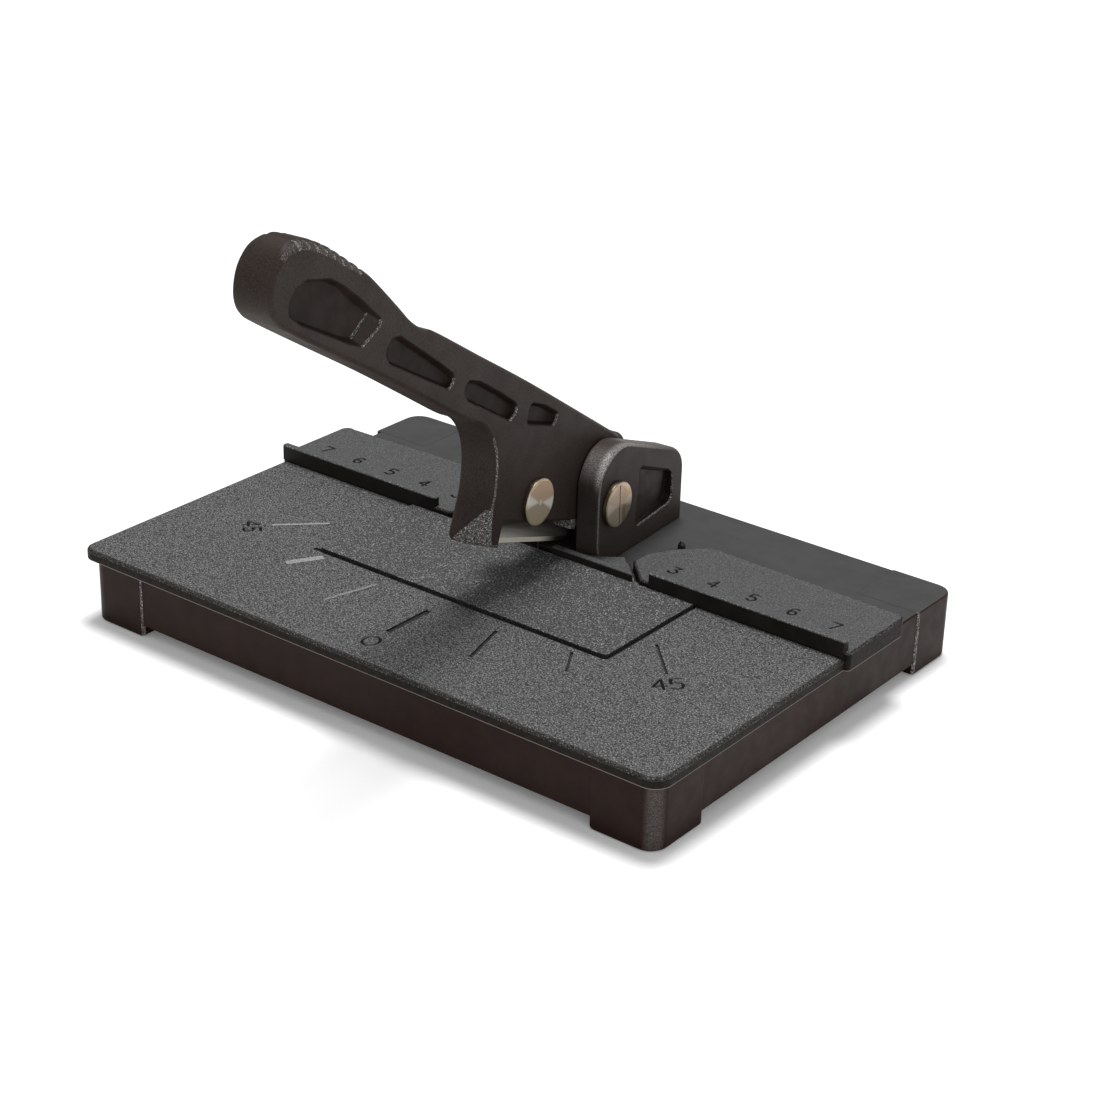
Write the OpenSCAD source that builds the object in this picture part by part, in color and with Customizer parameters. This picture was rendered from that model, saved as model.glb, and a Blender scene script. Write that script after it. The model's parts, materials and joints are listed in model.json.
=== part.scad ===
// Bench cutter for thin strips: tray base, ruled fences, and a yoke that turns over
// an angle fan and carries a blade on a long lever. Millimetres, +Z up, the lever
// reaches towards -Y. The origin lies on the bench in the middle of the outer box.

/* [Pose] */
// Turn of the yoke from the middle mark, anticlockwise seen from above
head_turn = 4.3; // [-45:0.1:45]
// Lift of the lever above its closed position
lever_lift = 19.2; // [0:0.1:60]

/* [Base tray] */
// Length of the tray from side wall to side wall
base_length = 150.3; // [146:0.1:180]
// How far the tray sits to the right of the swivel axis
base_shift = 0.5; // [0:0.1:1]
// Reach of the tray behind the swivel axis
rear_reach = 21.1; // [19:0.1:36]
// Radius of the upright corners of the tray
base_corner = 3.7; // [3:0.1:6]
// Thickness of the tray walls
wall = 2.4; // [1.6:0.2:3]
// Thickness of the plate that carries the deck
carrier = 2.4; // [1.6:0.2:3]
// Height of the ledge on which deck and fences stand
ledge_height = 14.2; // [13:0.1:16]
// Step from the ledge up to the rear deck
rear_step = 0.5; // [0.3:0.1:1]
// Clearance below the walls
wall_lift = 2.5; // [1.5:0.1:3.5]
// Side of the square corner feet
foot_side = 15.5; // [10:0.5:18]
// How far a foot stands proud of the walls
foot_proud = 0.3; // [0.2:0.1:0.8]
// Run of the slanted inner end of a foot
foot_slant = 2.2; // [1:0.1:3]
// Thickness of the stiffening ribs under the tray
rib = 1.6; // [1.2:0.1:2.4]
// Depth of the stiffening ribs
rib_depth = 5; // [3:0.5:6]

/* [Deck and cutting plate] */
// Thickness of the front deck
deck = 2.5; // [2.4:0.1:4]
// Overhang of the deck beyond the walls
overhang = 1.4; // [0.8:0.1:2]
// Radius of the upright corners of the deck
deck_corner = 4; // [3:0.5:8]
// Radius of the rounded top edge of the deck
deck_edge = 1; // [0.6:0.1:2]
// Left end of the cutting plate, from the middle mark
plate_left = 36.8; // [34:0.1:40]
// Right end of the cutting plate, from the middle mark
plate_right = 40.5; // [34:0.1:44]
// Distance of the plate's front edge from the front wall
plate_front = 31.2; // [26:0.1:36]
// Thickness of the cutting plate
plate = 2; // [1.4:0.1:2.4]
// How far the plate stands above the deck
plate_proud = 0.6; // [0.2:0.1:0.8]

/* [Fences] */
// Distance of the fence face from the swivel axis
fence_face = 25.5; // [25.2:0.1:27]
// Width of the fence platforms from front to back
fence_width = 23.4; // [22:0.1:26]
// How far the fences stand proud of the deck at the sides
fence_proud = 1.1; // [0.4:0.1:1.4]
// Height of the fence platforms above the deck
fence_rise = 1.8; // [1.2:0.1:2.2]
// Height of the raised lip above the platform
lip_rise = 2.2; // [1:0.1:2.6]
// Thickness of the raised lip
lip = 1.7; // [1.2:0.1:2.4]
// Margin left free at the outer end of the lip
lip_margin = 1.2; // [0.6:0.1:2]
// Start of the left lip, from the middle mark
lip_left = 30.3; // [28.5:0.1:36]
// Start of the right lip, from the middle mark
lip_right = 28.4; // [28:0.1:36]
// Height of the low inner fences above the deck
low_rise = 1.2; // [0.8:0.1:1.4]
// Height of their lip above that
low_lip_rise = 1.1; // [0.4:0.1:1.2]
// Width of the blade slots at the end marks
slot = 1.4; // [1.3:0.1:1.8]
// Angle of the end marks of the fan
fan_angle = 45; // [38:1:45]
// Half of the opening between the low inner fences
gap_half = 2.9; // [2.6:0.1:3.2]
// Inner corner of a fence platform, from the middle mark
fence_inner = 19.8; // [18:0.1:21]
// Leg of the slanted rear corner of a fence platform
fence_slant = 9.2; // [7:0.1:11]

/* [Yoke] */
// Distance of the swivel axis from the front wall
axis_back = 87.2; // [87:0.1:88]
// Thickness of each ear
ear = 6; // [5:0.1:6]
// Reach of the ears in front of the swivel axis
ear_front = 22; // [20.5:0.1:22]
// Reach of the ears behind the swivel axis
ear_rear = 13.3; // [12.5:0.1:15]
// Height of the ears above the pivot at the front
ear_rise = 12.8; // [11.5:0.1:16]
// Height of the ears above the pivot at the rear
ear_fall = 3.2; // [1:0.1:6]
// Radius of the upright outer edges of the yoke
yoke_round = 3; // [2.6:0.1:4]
// Radius of the upper front corner of the ears
ear_front_round = 6.5; // [5:0.1:8]
// Radius of the upper rear corner of the ears
ear_rear_round = 4; // [3:0.1:6]
// Thickness of the yoke floor
yoke_floor = 1.4; // [1.2:0.1:1.8]
// Thickness of the web that joins the ears at the rear
yoke_web = 5.5; // [4:0.1:7]
// Distance of that web's top below the pivot
web_drop = 3.4; // [0:0.1:6]
// Depth of the pockets in the ears and the lever
pocket = 2; // [1:0.1:2.2]

/* [Lever pivot] */
// Distance of the lever pivot in front of the swivel axis
pivot_front = 16.2; // [15.8:0.1:16.6]
// Height of the lever pivot above the bench
pivot_height = 28.4; // [28.2:0.1:28.8]
// Diameter of the pivot screw
pivot_screw_d = 6; // [5:0.1:6]
// Diameter of the slotted head of the pivot screw
pivot_head_d = 10.2; // [9:0.1:11]
// Thickness of that head
pivot_head = 1.1; // [0.8:0.1:1.6]
// Wall of the bush in the lever
bush_wall = 1; // [0.8:0.1:1.2]

/* [Lever] */
// Reach of the lever from its pivot to its tip
lever_reach = 124; // [116:0.5:140]
// Height of the handle's crown above the pivot when closed
lever_crown = 46.6; // [44:0.1:50]
// Thickness of the lever
lever_thick = 9; // [8:0.1:11]
// Reach of the lever behind its pivot
lever_tail = 9.5; // [8.5:0.1:9.6]
// Depth of the lever's underside below the pivot
lever_belly = 5.5; // [5.4:0.1:5.8]
// Front of the claw in front of the pivot
claw_front = 38.2; // [36:0.1:39]
// Width of the claw from front to back
claw = 5.1; // [3:0.1:5.2]
// Clearance between the claw and the cutting plate when closed
claw_clear = 0.6; // [0.5:0.1:1]
// Number of grip grooves on the handle
grip_grooves = 6; // [4:1:8]
// Radius of the grip grooves
groove_r = 0.7; // [0.4:0.1:0.8]

/* [Blade and clamp] */
// Material of the claw ahead of the blade's tip
claw_wall = 1.6; // [1.2:0.1:2.4]
// Thickness of the blade
blade_thick = 0.5; // [0.3:0.05:0.6]
// Height of the ground bevel
bevel = 1.4; // [0.8:0.1:2]
// Clearance between the edge and the cutting plate when closed
edge_clear = 0.3; // [0.2:0.05:0.5]
// Distance of the blade's heel behind the pivot
heel_back = 0.7; // [0.5:0.1:1]
// Distance of the clamp screw in front of the pivot
clamp_front = 21.5; // [20:0.1:24]
// Distance of the clamp screw below the pivot
clamp_drop = 0.9; // [0.5:0.1:1.5]
// Diameter of the clamp screw's head
clamp_head_d = 10.3; // [9:0.1:11]
// Diameter of the clamp screw's shank
clamp_screw_d = 4; // [3:0.1:5]
// Thickness of the clamp screw's head
clamp_head = 1.1; // [0.8:0.1:1.6]

/* [Screws and pins] */
// Diameter of the screws under the deck and the fences
screw_d = 3; // [2.5:0.1:3.5]
// Diameter of their heads
screw_head_d = 5.6; // [5:0.1:6]
// Thickness of their heads
screw_head = 2; // [1.6:0.1:2.4]
// Diameter of the swivel bolt's shoulder
shoulder_d = 6.5; // [6:0.1:7]
// Diameter of the swivel bolt's thread
bolt_d = 5; // [4:0.1:5]
// Height of the swivel bolt's head
bolt_head = 2.4; // [2:0.1:2.6]
// Diameter of the pointed stop pins
stop_d = 1.8; // [1.4:0.1:2]
// Height of the stop pins above the rear deck
stop_height = 3.2; // [2.4:0.1:4]
// Distance of the stop pins from the middle mark
stop_side = 20.5; // [20:0.1:22]
// Distance of the stop pins in front of the swivel axis
stop_front = 1.7; // [1:0.1:2.5]

/* [Hidden] */

$fn = 96;
// Running clearance of a turning fit, on the radius
run = 0.06;
// Clearance of a fixed pin in its hole, on the radius
seat = 0.02;
// Clearance between pieces that move past each other
pass = 0.3;
// Width of the joint line between fixed pieces
line_gap = 0.05;
// Clearance between the swivel bolt's head and the ears
bolt_room = 0.4;
// Overrun of every cut
over = 1;
// Pieces in a rounded corner
steps = 6;
// Thickness of the layers that rounded plates are drawn from
skin = 0.02;

rear_top = ledge_height + rear_step;
deck_top = ledge_height + deck;
plate_top = deck_top + plate_proud;
platform = deck_top + fence_rise;
lip_top = platform + lip_rise;
half = base_length / 2;
base_depth = axis_back + rear_reach;
rib_share = 0.427;
rib_cross_share = 0.52;
rib_place = half * rib_share;
ear_top = pivot_height + ear_rise;
ear_low = pivot_height + ear_fall;
web_top = pivot_height - web_drop;
side = half + overhang;
fence_side = side + fence_proud;
roof = ledge_height - carrier;
ear_gap = lever_thick + 2 * pass;
yoke_half = ear_gap / 2 + ear;
bolt_head_d = ear_gap - 2 * bolt_room;
yoke_bottom = rear_top + pass;
floor_top = yoke_bottom + yoke_floor;
face_y = axis_back - fence_face;
fence_back = face_y + fence_width;

// The well in the fences clears the circle that the yoke's corners sweep.
sweep_r = norm([yoke_half - yoke_round, ear_front - yoke_round]) + yoke_round;
well_clear = 0.5;
well_r = sweep_r + well_clear;

// Depths below the pivot of the blade's edge and the claw when closed.
edge_low = pivot_height - plate_top - edge_clear;
claw_low = pivot_height - plate_top - claw_clear;

// Swivel stack under the tray.
boss_d = 18;
boss_low = 3;
washer_d = 12;
washer = 1;
spring = 1.2;
spring_d = 9.6;
nut = 3.6;
nut_d = 9.2;
bolt_tail = 0.6;
socket_d = 4;
socket_depth = 1.4;
boss_bottom = roof - boss_low;

// Cross screws.
pivot_washer_d = 11;
pivot_washer = 0.8;
pivot_nut_d = 11.5;
pivot_nut = 3.2;
slot_wide = 1.2;
slot_deep = 0.6;
bush_r = pivot_screw_d / 2 + run + bush_wall;
clamp_washer_d = 8;
clamp_washer = 0.6;
clamp_nut_d = 8;
clamp_nut = 2.4;
clamp_tail = 0.4;
cross_tail = 0.5;

// Blade outline and its slot in the lever.
blade_top = 6;
blade_room = 0.1;
blade_gap = 0.3;
edge_thick = 0.06;
blade_length = claw_front - claw_wall - blade_gap + heel_back;
bush_cover = 1.2;
heel_top = lever_belly + seat;
heel_step = bush_r + bush_cover;
locating_d = 2;
locating_places = [[heel_step + locating_d, blade_top / 2],
                   [blade_length - heel_back - locating_d * 1.5, blade_top / 3]];
lug_long = 6;
lug_low = 2;
lug_front = 3;

// Screw places under deck and fences: shares of the half length and of the depth.
deck_screw_shares = [[-0.76, 0.3], [0.76, 0.3], [-0.2, 0.16], [0.2, 0.16]];
fence_screw_shares = [0.52, 0.86];

// Side outline of the lever ahead of its tail: shares of reach and crown height.
lever_top_shares = [[-0.055, 0.296], [0.053, 0.369], [0.273, 0.515], [0.438, 0.614],
    [0.572, 0.695], [0.6, 0.701], [0.622, 0.71], [0.65, 0.735], [0.682, 0.777],
    [0.728, 0.836], [0.774, 0.891], [0.83, 0.944], [0.884, 0.985], [0.933, 1]];
lever_tip_shares = [[0.962, 0.985], [0.984, 0.94], [0.997, 0.87], [1, 0.8],
    [0.993, 0.725], [0.974, 0.672], [0.937, 0.64]];
lever_low_shares = [[0.81, 0.564], [0.675, 0.485], [0.53, 0.391], [0.437, 0.33],
    [0.398, 0.312], [0.379, 0.298]];
// Throat between handle and claw: shares of the claw's place and of the crown height.
throat_shares = [[1.185, 0.285], [1.14, 0.248], [1.09, 0.196], [1.05, 0.137],
    [1.02, 0.08], [1.003, 0.02], [1, -0.05]];

// Pockets in the lever's sides, the same shares.
pocket_shares = [
    [[0.895, 0.85], [0.843, 0.848], [0.807, 0.82], [0.752, 0.717], [0.719, 0.723],
     [0.76, 0.616], [0.791, 0.629], [0.92, 0.702], [0.948, 0.736], [0.934, 0.811]],
    [[0.673, 0.665], [0.508, 0.534], [0.5, 0.5], [0.51, 0.466], [0.673, 0.543],
     [0.696, 0.579], [0.685, 0.646]],
    [[0.464, 0.5], [0.374, 0.479], [0.313, 0.427], [0.298, 0.395], [0.316, 0.346],
     [0.453, 0.427], [0.466, 0.461]],
    [[0.256, 0.427], [0.166, 0.38], [0.172, 0.335], [0.26, 0.328]]];
pocket_round = 1.2;

// Pocket in the ears: shares of the reach behind the axis and of the front height.
ear_pocket_shares = [[-0.43, 0.806], [0.526, 0.658], [0.639, 0.578], [0.639, 0.49],
    [-0.444, 0.468]];
ear_shoulder_share = 0.64;
grip_start_share = [0.838, 0.953];
grip_end_share = [0.94, 1.003];
// Material left above the screws in deck and fences.
screw_cover = 1.2;
screw_tip = 0.3;

function unit(v) = v / norm(v);
function turn(a) = a > 180 ? a - 360 : (a < -180 ? a + 360 : a);
// Arc that rounds the corner at b with radius r.
function corner(a, b, c, r) = r <= 0 ? [b] :
    let (u = unit(a - b), v = unit(c - b), h = acos(u * v) / 2,
         m = b + unit(u + v) * r / sin(h),
         p = b + u * r / tan(h) - m, q = b + v * r / tan(h) - m,
         s = atan2(p[1], p[0]), e = turn(atan2(q[1], q[0]) - s))
    [for (i = [0:steps]) m + r * [cos(s + e * i / steps), sin(s + e * i / steps)]];
function rounded(pts, radii) = let (n = len(pts))
    [for (i = [0:n - 1]) each corner(pts[(i + n - 1) % n], pts[i], pts[(i + 1) % n],
        is_list(radii) ? radii[i] : radii)];
function box_points(x0, y0, x1, y1) = [[x0, y0], [x1, y0], [x1, y1], [x0, y1]];
function mirrored(pts) = [for (p = pts) [-p[0], p[1]]];
// Shares of the lever turned into points, with the front towards -Y.
function on_lever(shares) = [for (s = shares) [-s[0] * lever_reach, s[1] * lever_crown]];

// Front end of the lever, which sets the middle of the outer box.
tip_run = max([for (p = on_lever(concat(lever_top_shares, lever_tip_shares)))
    -(p[0] * cos(lever_lift) + p[1] * sin(lever_lift))]);
lever_end = axis_back - (pivot_front + tip_run) * cos(head_turn)
    - lever_thick / 2 * sin(abs(head_turn));
middle_y = (min(lever_end, -overhang) + base_depth + foot_proud) / 2;

// Extrudes a side view, drawn as Y and Z, across a width centred on the middle.
module across(wide) {
    translate([-wide / 2, 0, 0]) rotate([90, 0, 90]) linear_extrude(wide) children();
}
// Cylinder along X that starts at x.
module cross_rod(x, r, long, y = 0, z = 0) {
    translate([x, y, z]) rotate([0, 90, 0]) cylinder(r = r, h = long);
}
module hex(d, high) { cylinder(d = d, h = high, $fn = 6); }
// Moves construction coordinates, with the front wall at Y 0, to the part's frame.
module seated() { translate([-base_shift, -middle_y, 0]) children(); }
// Tray and deck, drawn about their own middle.
module on_tray() { translate([base_shift, 0, 0]) children(); }
module on_head() {
    seated() translate([0, axis_back, 0]) rotate([0, 0, head_turn]) children();
}
module on_pivot() {
    on_head() translate([0, -pivot_front, pivot_height]) rotate([-lever_lift, 0, 0])
        children();
}

// Plan views.
module well_plan() {
    translate([0, axis_back]) circle(r = well_r);
    polygon([[-fence_inner - fence_slant, fence_back],
        [-fence_inner, fence_back - fence_slant],
        [fence_inner, fence_back - fence_slant],
        [fence_inner + fence_slant, fence_back]]);
}
function slot_x(y, off) = (axis_back - y) * tan(fan_angle) + off / cos(fan_angle);
module fence_plan(outer) {
    inner_y = fence_back - fence_slant;
    difference() {
        polygon([[slot_x(face_y, slot / 2), face_y], [fence_inner,
            axis_back - (fence_inner - slot / 2 / cos(fan_angle)) / tan(fan_angle)],
            [fence_inner, inner_y], [fence_inner + fence_slant, fence_back],
            [outer, fence_back], [outer, face_y]]);
        translate([0, axis_back]) circle(r = well_r);
    }
}

module base_tray() {
    color("#2b2624") seated() difference() {
        union() {
            on_tray() translate([0, 0, wall_lift])
                linear_extrude(ledge_height - wall_lift)
                polygon(rounded(box_points(-half, 0, half, base_depth), base_corner));
            raised_deck();
            on_tray() feet();
        }
        difference() {
            on_tray() translate([0, 0, -over]) linear_extrude(roof + over)
                polygon(rounded(box_points(wall - half, wall, half - wall,
                    base_depth - wall), base_corner - wall));
            on_tray() corner_posts();
            on_tray() tray_ribs();
            translate([0, axis_back, boss_bottom]) cylinder(d = boss_d, h = roof);
        }
        translate([0, axis_back, -over]) cylinder(d = bolt_d + 2 * seat,
            h = rear_top + 2 * over);
        for (s = [-1, 1]) translate([s * stop_side, axis_back - stop_front,
            rear_top - carrier]) cylinder(d = stop_d + 2 * seat, h = carrier + over);
        for (p = deck_screw_places()) translate([p[0], p[1], 0])
            cylinder(d = screw_d + 2 * seat, h = ledge_height + over);
        for (p = fence_screw_places()) translate([p[0], p[1], 0])
            cylinder(d = screw_d + 2 * seat, h = ledge_height + over);
    }
}
module raised_deck() {
    translate([0, 0, ledge_height - over]) linear_extrude(rear_step + over) union() {
        on_tray() polygon(rounded(box_points(-half, fence_back + line_gap, half,
            base_depth), [0, 0, base_corner, base_corner]));
        intersection() {
            offset_well();
            on_tray() translate([-half, 0])
                square([base_length, fence_back + base_corner]);
        }
    }
}
module offset_well() {
    translate([0, axis_back]) circle(r = well_r - line_gap);
    polygon([[-fence_inner - fence_slant + line_gap, fence_back + line_gap],
        [-fence_inner + line_gap, fence_back - fence_slant + line_gap],
        [fence_inner - line_gap, fence_back - fence_slant + line_gap],
        [fence_inner + fence_slant - line_gap, fence_back + line_gap]]);
}
module feet() {
    for (s = [-1, 1]) for (b = [0, 1]) {
        x0 = s < 0 ? -half - foot_proud : half + foot_proud - foot_side;
        y0 = b == 0 ? -foot_proud : base_depth + foot_proud - foot_side;
        r = base_corner + foot_proud;
        translate([0, 0, wall_lift]) linear_extrude(ledge_height - wall_lift)
            foot_plan(x0, y0, foot_side, s, b, r);
        intersection() {
            linear_extrude(wall_lift + over) foot_plan(x0, y0, foot_side, s, b, r);
            foot_end(x0, y0, s);
        }
    }
}
module foot_plan(x0, y0, size, s, b, r) {
    radii = s < 0 ? (b == 0 ? [r, 0, 0, 0] : [0, 0, 0, r])
        : (b == 0 ? [0, r, 0, 0] : [0, 0, r, 0]);
    polygon(rounded(box_points(x0, y0, x0 + size, y0 + size), radii));
}
// Front view of a foot below the walls, slanted at its inner end.
module foot_end(x0, y0, s) {
    high = wall_lift + over;
    lean = foot_slant * high / wall_lift;
    translate([0, y0 + foot_side, 0]) rotate([90, 0, 0]) linear_extrude(foot_side)
        polygon(s < 0 ? [[x0, 0], [x0 + foot_side - foot_slant, 0],
            [x0 + foot_side - foot_slant + lean, high], [x0, high]]
            : [[x0 + foot_slant, 0], [x0 + foot_side, 0], [x0 + foot_side, high],
            [x0 + foot_slant - lean, high]]);
}
module corner_posts() {
    reach = foot_side - foot_proud;
    for (s = [-1, 1]) for (b = [0, 1])
        translate([s < 0 ? -half : half - reach, b == 0 ? 0 : base_depth - reach, 0])
            cube([reach, reach, roof]);
}
module tray_ribs() {
    for (s = [-1, 1]) translate([s * rib_place - rib / 2, 0, roof - rib_depth])
        cube([rib, base_depth, rib_depth]);
    translate([-half, base_depth * rib_cross_share, roof - rib_depth])
        cube([base_length, rib, rib_depth]);
}
function deck_screw_places() =
    [for (s = deck_screw_shares) [s[0] * half + base_shift, s[1] * base_depth]];
function fence_screw_places() = [for (s = [-1, 1]) for (f = fence_screw_shares)
    [s * f * half + base_shift, face_y + fence_width / 2]];

// Deck plate whose front and side edges are rounded over at the top.
module deck_plate() {
    on_tray() hull() for (i = [-1:steps]) {
        a = 90 * max(i, 0) / steps;
        inset = deck_edge * (1 - cos(a));
        high = i < 0 ? 0 : deck - deck_edge - skin + deck_edge * sin(a);
        translate([0, 0, ledge_height + high]) linear_extrude(skin)
            polygon(rounded(box_points(-side + inset, inset - overhang, side - inset,
                face_y - line_gap), [deck_corner - inset, deck_corner - inset, 0, 0]));
    }
}
// Tongue of the deck that runs between the fences up to the well.
module deck_tongue() {
    edge = slot_x(face_y, slot / 2) - line_gap;
    lean = fence_face * tan(fan_angle);
    translate([0, 0, ledge_height]) linear_extrude(deck) difference() {
        polygon([[-edge, face_y - fence_width], [edge, face_y - fence_width],
            [edge, face_y], [edge - lean, face_y + fence_face],
            [lean - edge, face_y + fence_face], [-edge, face_y]]);
        translate([0, axis_back]) circle(r = well_r);
    }
}
module front_deck() {
    color("#4a4b4d") seated() difference() {
        union() {
            deck_plate();
            deck_tongue();
        }
        translate([-plate_left - line_gap, plate_front - line_gap, plate_top - plate])
            cube([plate_left + plate_right + 2 * line_gap, face_y - plate_front + line_gap,
                plate + over]);
        for (p = deck_screw_places()) translate([p[0], p[1], ledge_height - over])
            cylinder(d = screw_d + 2 * seat, h = over + deck - screw_cover);
    }
}
module cutting_plate() {
    color("#3c3d3f") seated() translate([-plate_left, plate_front, plate_top - plate])
        cube([plate_left + plate_right, face_y - plate_front - line_gap, plate]);
}

// Right-hand fence; the lip starts at a named distance from the middle mark.
module fence(lip_start, outer) {
    difference() {
        union() {
            translate([0, 0, ledge_height]) linear_extrude(platform - ledge_height)
                fence_plan(outer);
            translate([lip_start, face_y, ledge_height])
                cube([outer - lip_margin - lip_start, lip, lip_top - ledge_height]);
        }
        for (f = fence_screw_shares) translate([f * half + outer - fence_side,
            face_y + fence_width / 2, ledge_height - over])
                cylinder(d = screw_d + 2 * seat, h = over + deck);
    }
}
module right_fence() {
    color("#545557") seated() fence(lip_right, fence_side + base_shift);
}
module left_fence() {
    color("#545557") seated() mirror([1, 0, 0]) fence(lip_left, fence_side - base_shift);
}
module low_fence() {
    outer = slot_x(face_y, -slot / 2);
    difference() {
        union() {
            translate([0, 0, deck_top]) linear_extrude(low_rise)
                polygon([[gap_half, face_y], [outer, face_y],
                    [outer - fence_face * tan(fan_angle), face_y + fence_face],
                    [gap_half, face_y + fence_face]]);
            translate([0, 0, deck_top]) linear_extrude(low_rise + low_lip_rise)
                polygon([[gap_half, face_y], [outer, face_y],
                    [outer - lip * tan(fan_angle), face_y + lip],
                    [gap_half, face_y + lip]]);
        }
        translate([0, axis_back, deck_top - over]) cylinder(r = well_r,
            h = low_rise + low_lip_rise + 2 * over);
    }
}
module right_low_fence() { color("#4f4f50") seated() low_fence(); }
module left_low_fence() { color("#4f4f50") seated() mirror([1, 0, 0]) low_fence(); }

module stop_pins() {
    color("#1d1a19") seated() for (s = [-1, 1])
        translate([s * stop_side, axis_back - stop_front, rear_top - carrier]) {
            cylinder(d = stop_d, h = carrier + stop_height - stop_d / 2);
            translate([0, 0, carrier + stop_height - stop_d / 2])
                cylinder(d1 = stop_d, d2 = stop_d / 4, h = stop_d / 2);
        }
}
module base_screw(long) {
    translate([0, 0, roof - screw_head]) difference() {
        union() {
            cylinder(d = screw_head_d, h = screw_head);
            cylinder(d = screw_d, h = screw_head + long);
        }
        translate([-screw_head_d, -slot_deep / 2, -over])
            cube([2 * screw_head_d, slot_deep, over + slot_deep]);
    }
}
module deck_screws() {
    color("silver") seated() for (p = deck_screw_places()) translate([p[0], p[1], 0])
        base_screw(carrier + deck - screw_cover - screw_tip);
}
module fence_screws() {
    color("silver") seated() for (p = fence_screw_places()) translate([p[0], p[1], 0])
        base_screw(carrier + deck - screw_tip);
}

module swivel_bolt() {
    color("silver") seated() translate([0, axis_back, 0]) difference() {
        union() {
            translate([0, 0, bolt_tail]) cylinder(d = bolt_d, h = rear_top - bolt_tail);
            translate([0, 0, rear_top]) cylinder(d = shoulder_d,
                h = floor_top + pass - rear_top);
            translate([0, 0, floor_top + pass]) cylinder(d = bolt_head_d, h = bolt_head);
        }
        translate([0, 0, floor_top + pass + bolt_head - socket_depth])
            hex(socket_d, socket_depth + over);
    }
}
module swivel_washer() {
    color("silver") seated() translate([0, axis_back, boss_bottom - washer]) difference() {
        cylinder(d = washer_d, h = washer);
        translate([0, 0, -over]) cylinder(d = bolt_d + 2 * seat, h = washer + 2 * over);
    }
}
// Split spring ring between washer and nut.
module swivel_spring() {
    color("silver") seated() translate([0, axis_back, boss_bottom - washer - spring])
        difference() {
            cylinder(d = spring_d, h = spring);
            translate([0, 0, -over]) cylinder(d = bolt_d + 4 * seat, h = spring + 2 * over);
            translate([0, -slot_deep / 2, -over])
                cube([spring_d, slot_deep, spring + 2 * over]);
        }
}
module swivel_nut() {
    color("silver") seated() translate([0, axis_back, boss_bottom - washer - spring - nut])
        difference() {
            hex(nut_d, nut);
            translate([0, 0, -over]) cylinder(d = bolt_d + 2 * seat, h = nut + 2 * over);
        }
}

module ear_outline() {
    shoulder = ear_front * ear_shoulder_share;
    polygon(rounded([[-ear_front, yoke_bottom], [-ear_front, ear_top],
        [-shoulder, ear_top], [ear_rear, ear_low], [ear_rear, yoke_bottom]],
        [0, ear_front_round, 0, ear_rear_round, 0]));
}
module yoke() {
    cut = ear_top + over;
    color("#34302e") on_head() difference() {
        intersection() {
            union() {
                for (s = [-1, 1]) translate([s * (ear_gap + ear) / 2, 0, 0])
                    across(ear) ear_outline();
                translate([-yoke_half, -ear_front, yoke_bottom])
                    cube([2 * yoke_half, ear_front + ear_rear, yoke_floor]);
                translate([-yoke_half, ear_rear - yoke_web, yoke_bottom])
                    cube([2 * yoke_half, yoke_web, web_top - yoke_bottom]);
            }
            linear_extrude(cut) polygon(rounded(box_points(-yoke_half, -ear_front,
                yoke_half, ear_rear), yoke_round));
        }
        translate([0, 0, -over]) cylinder(d = shoulder_d + 2 * run, h = cut);
        for (s = [-1, 1]) translate([s * (yoke_half - pocket / 2 + over / 2), 0, 0])
            across(pocket + over) polygon(rounded([for (p = ear_pocket_shares)
                [p[0] * ear_rear, p[1] * ear_top]], pocket_round));
        cross_rod(-yoke_half - over, pivot_screw_d / 2 + seat,
            2 * yoke_half + 2 * over, -pivot_front, pivot_height);
    }
}

module pivot_screw() {
    far = -yoke_half - pivot_washer - pivot_nut - cross_tail;
    color("#b9ad9d") on_head() translate([0, -pivot_front, pivot_height]) difference() {
        union() {
            cross_rod(far, pivot_screw_d / 2, yoke_half - far);
            cross_rod(yoke_half, pivot_head_d / 2, pivot_head);
        }
        translate([yoke_half + pivot_head - slot_deep, -pivot_head_d, -slot_wide / 2])
            cube([slot_deep + over, 2 * pivot_head_d, slot_wide]);
    }
}
module pivot_washer() {
    color("silver") on_head() translate([-yoke_half - pivot_washer, -pivot_front,
        pivot_height]) difference() {
            cross_rod(0, pivot_washer_d / 2, pivot_washer);
            cross_rod(-over, pivot_screw_d / 2 + seat, pivot_washer + 2 * over);
        }
}
module pivot_nut() {
    color("silver") on_head() translate([-yoke_half - pivot_washer - pivot_nut,
        -pivot_front, pivot_height]) difference() {
            rotate([0, 90, 0]) hex(pivot_nut_d, pivot_nut);
            cross_rod(-over, pivot_screw_d / 2 + seat, pivot_nut + 2 * over);
        }
}

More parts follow.
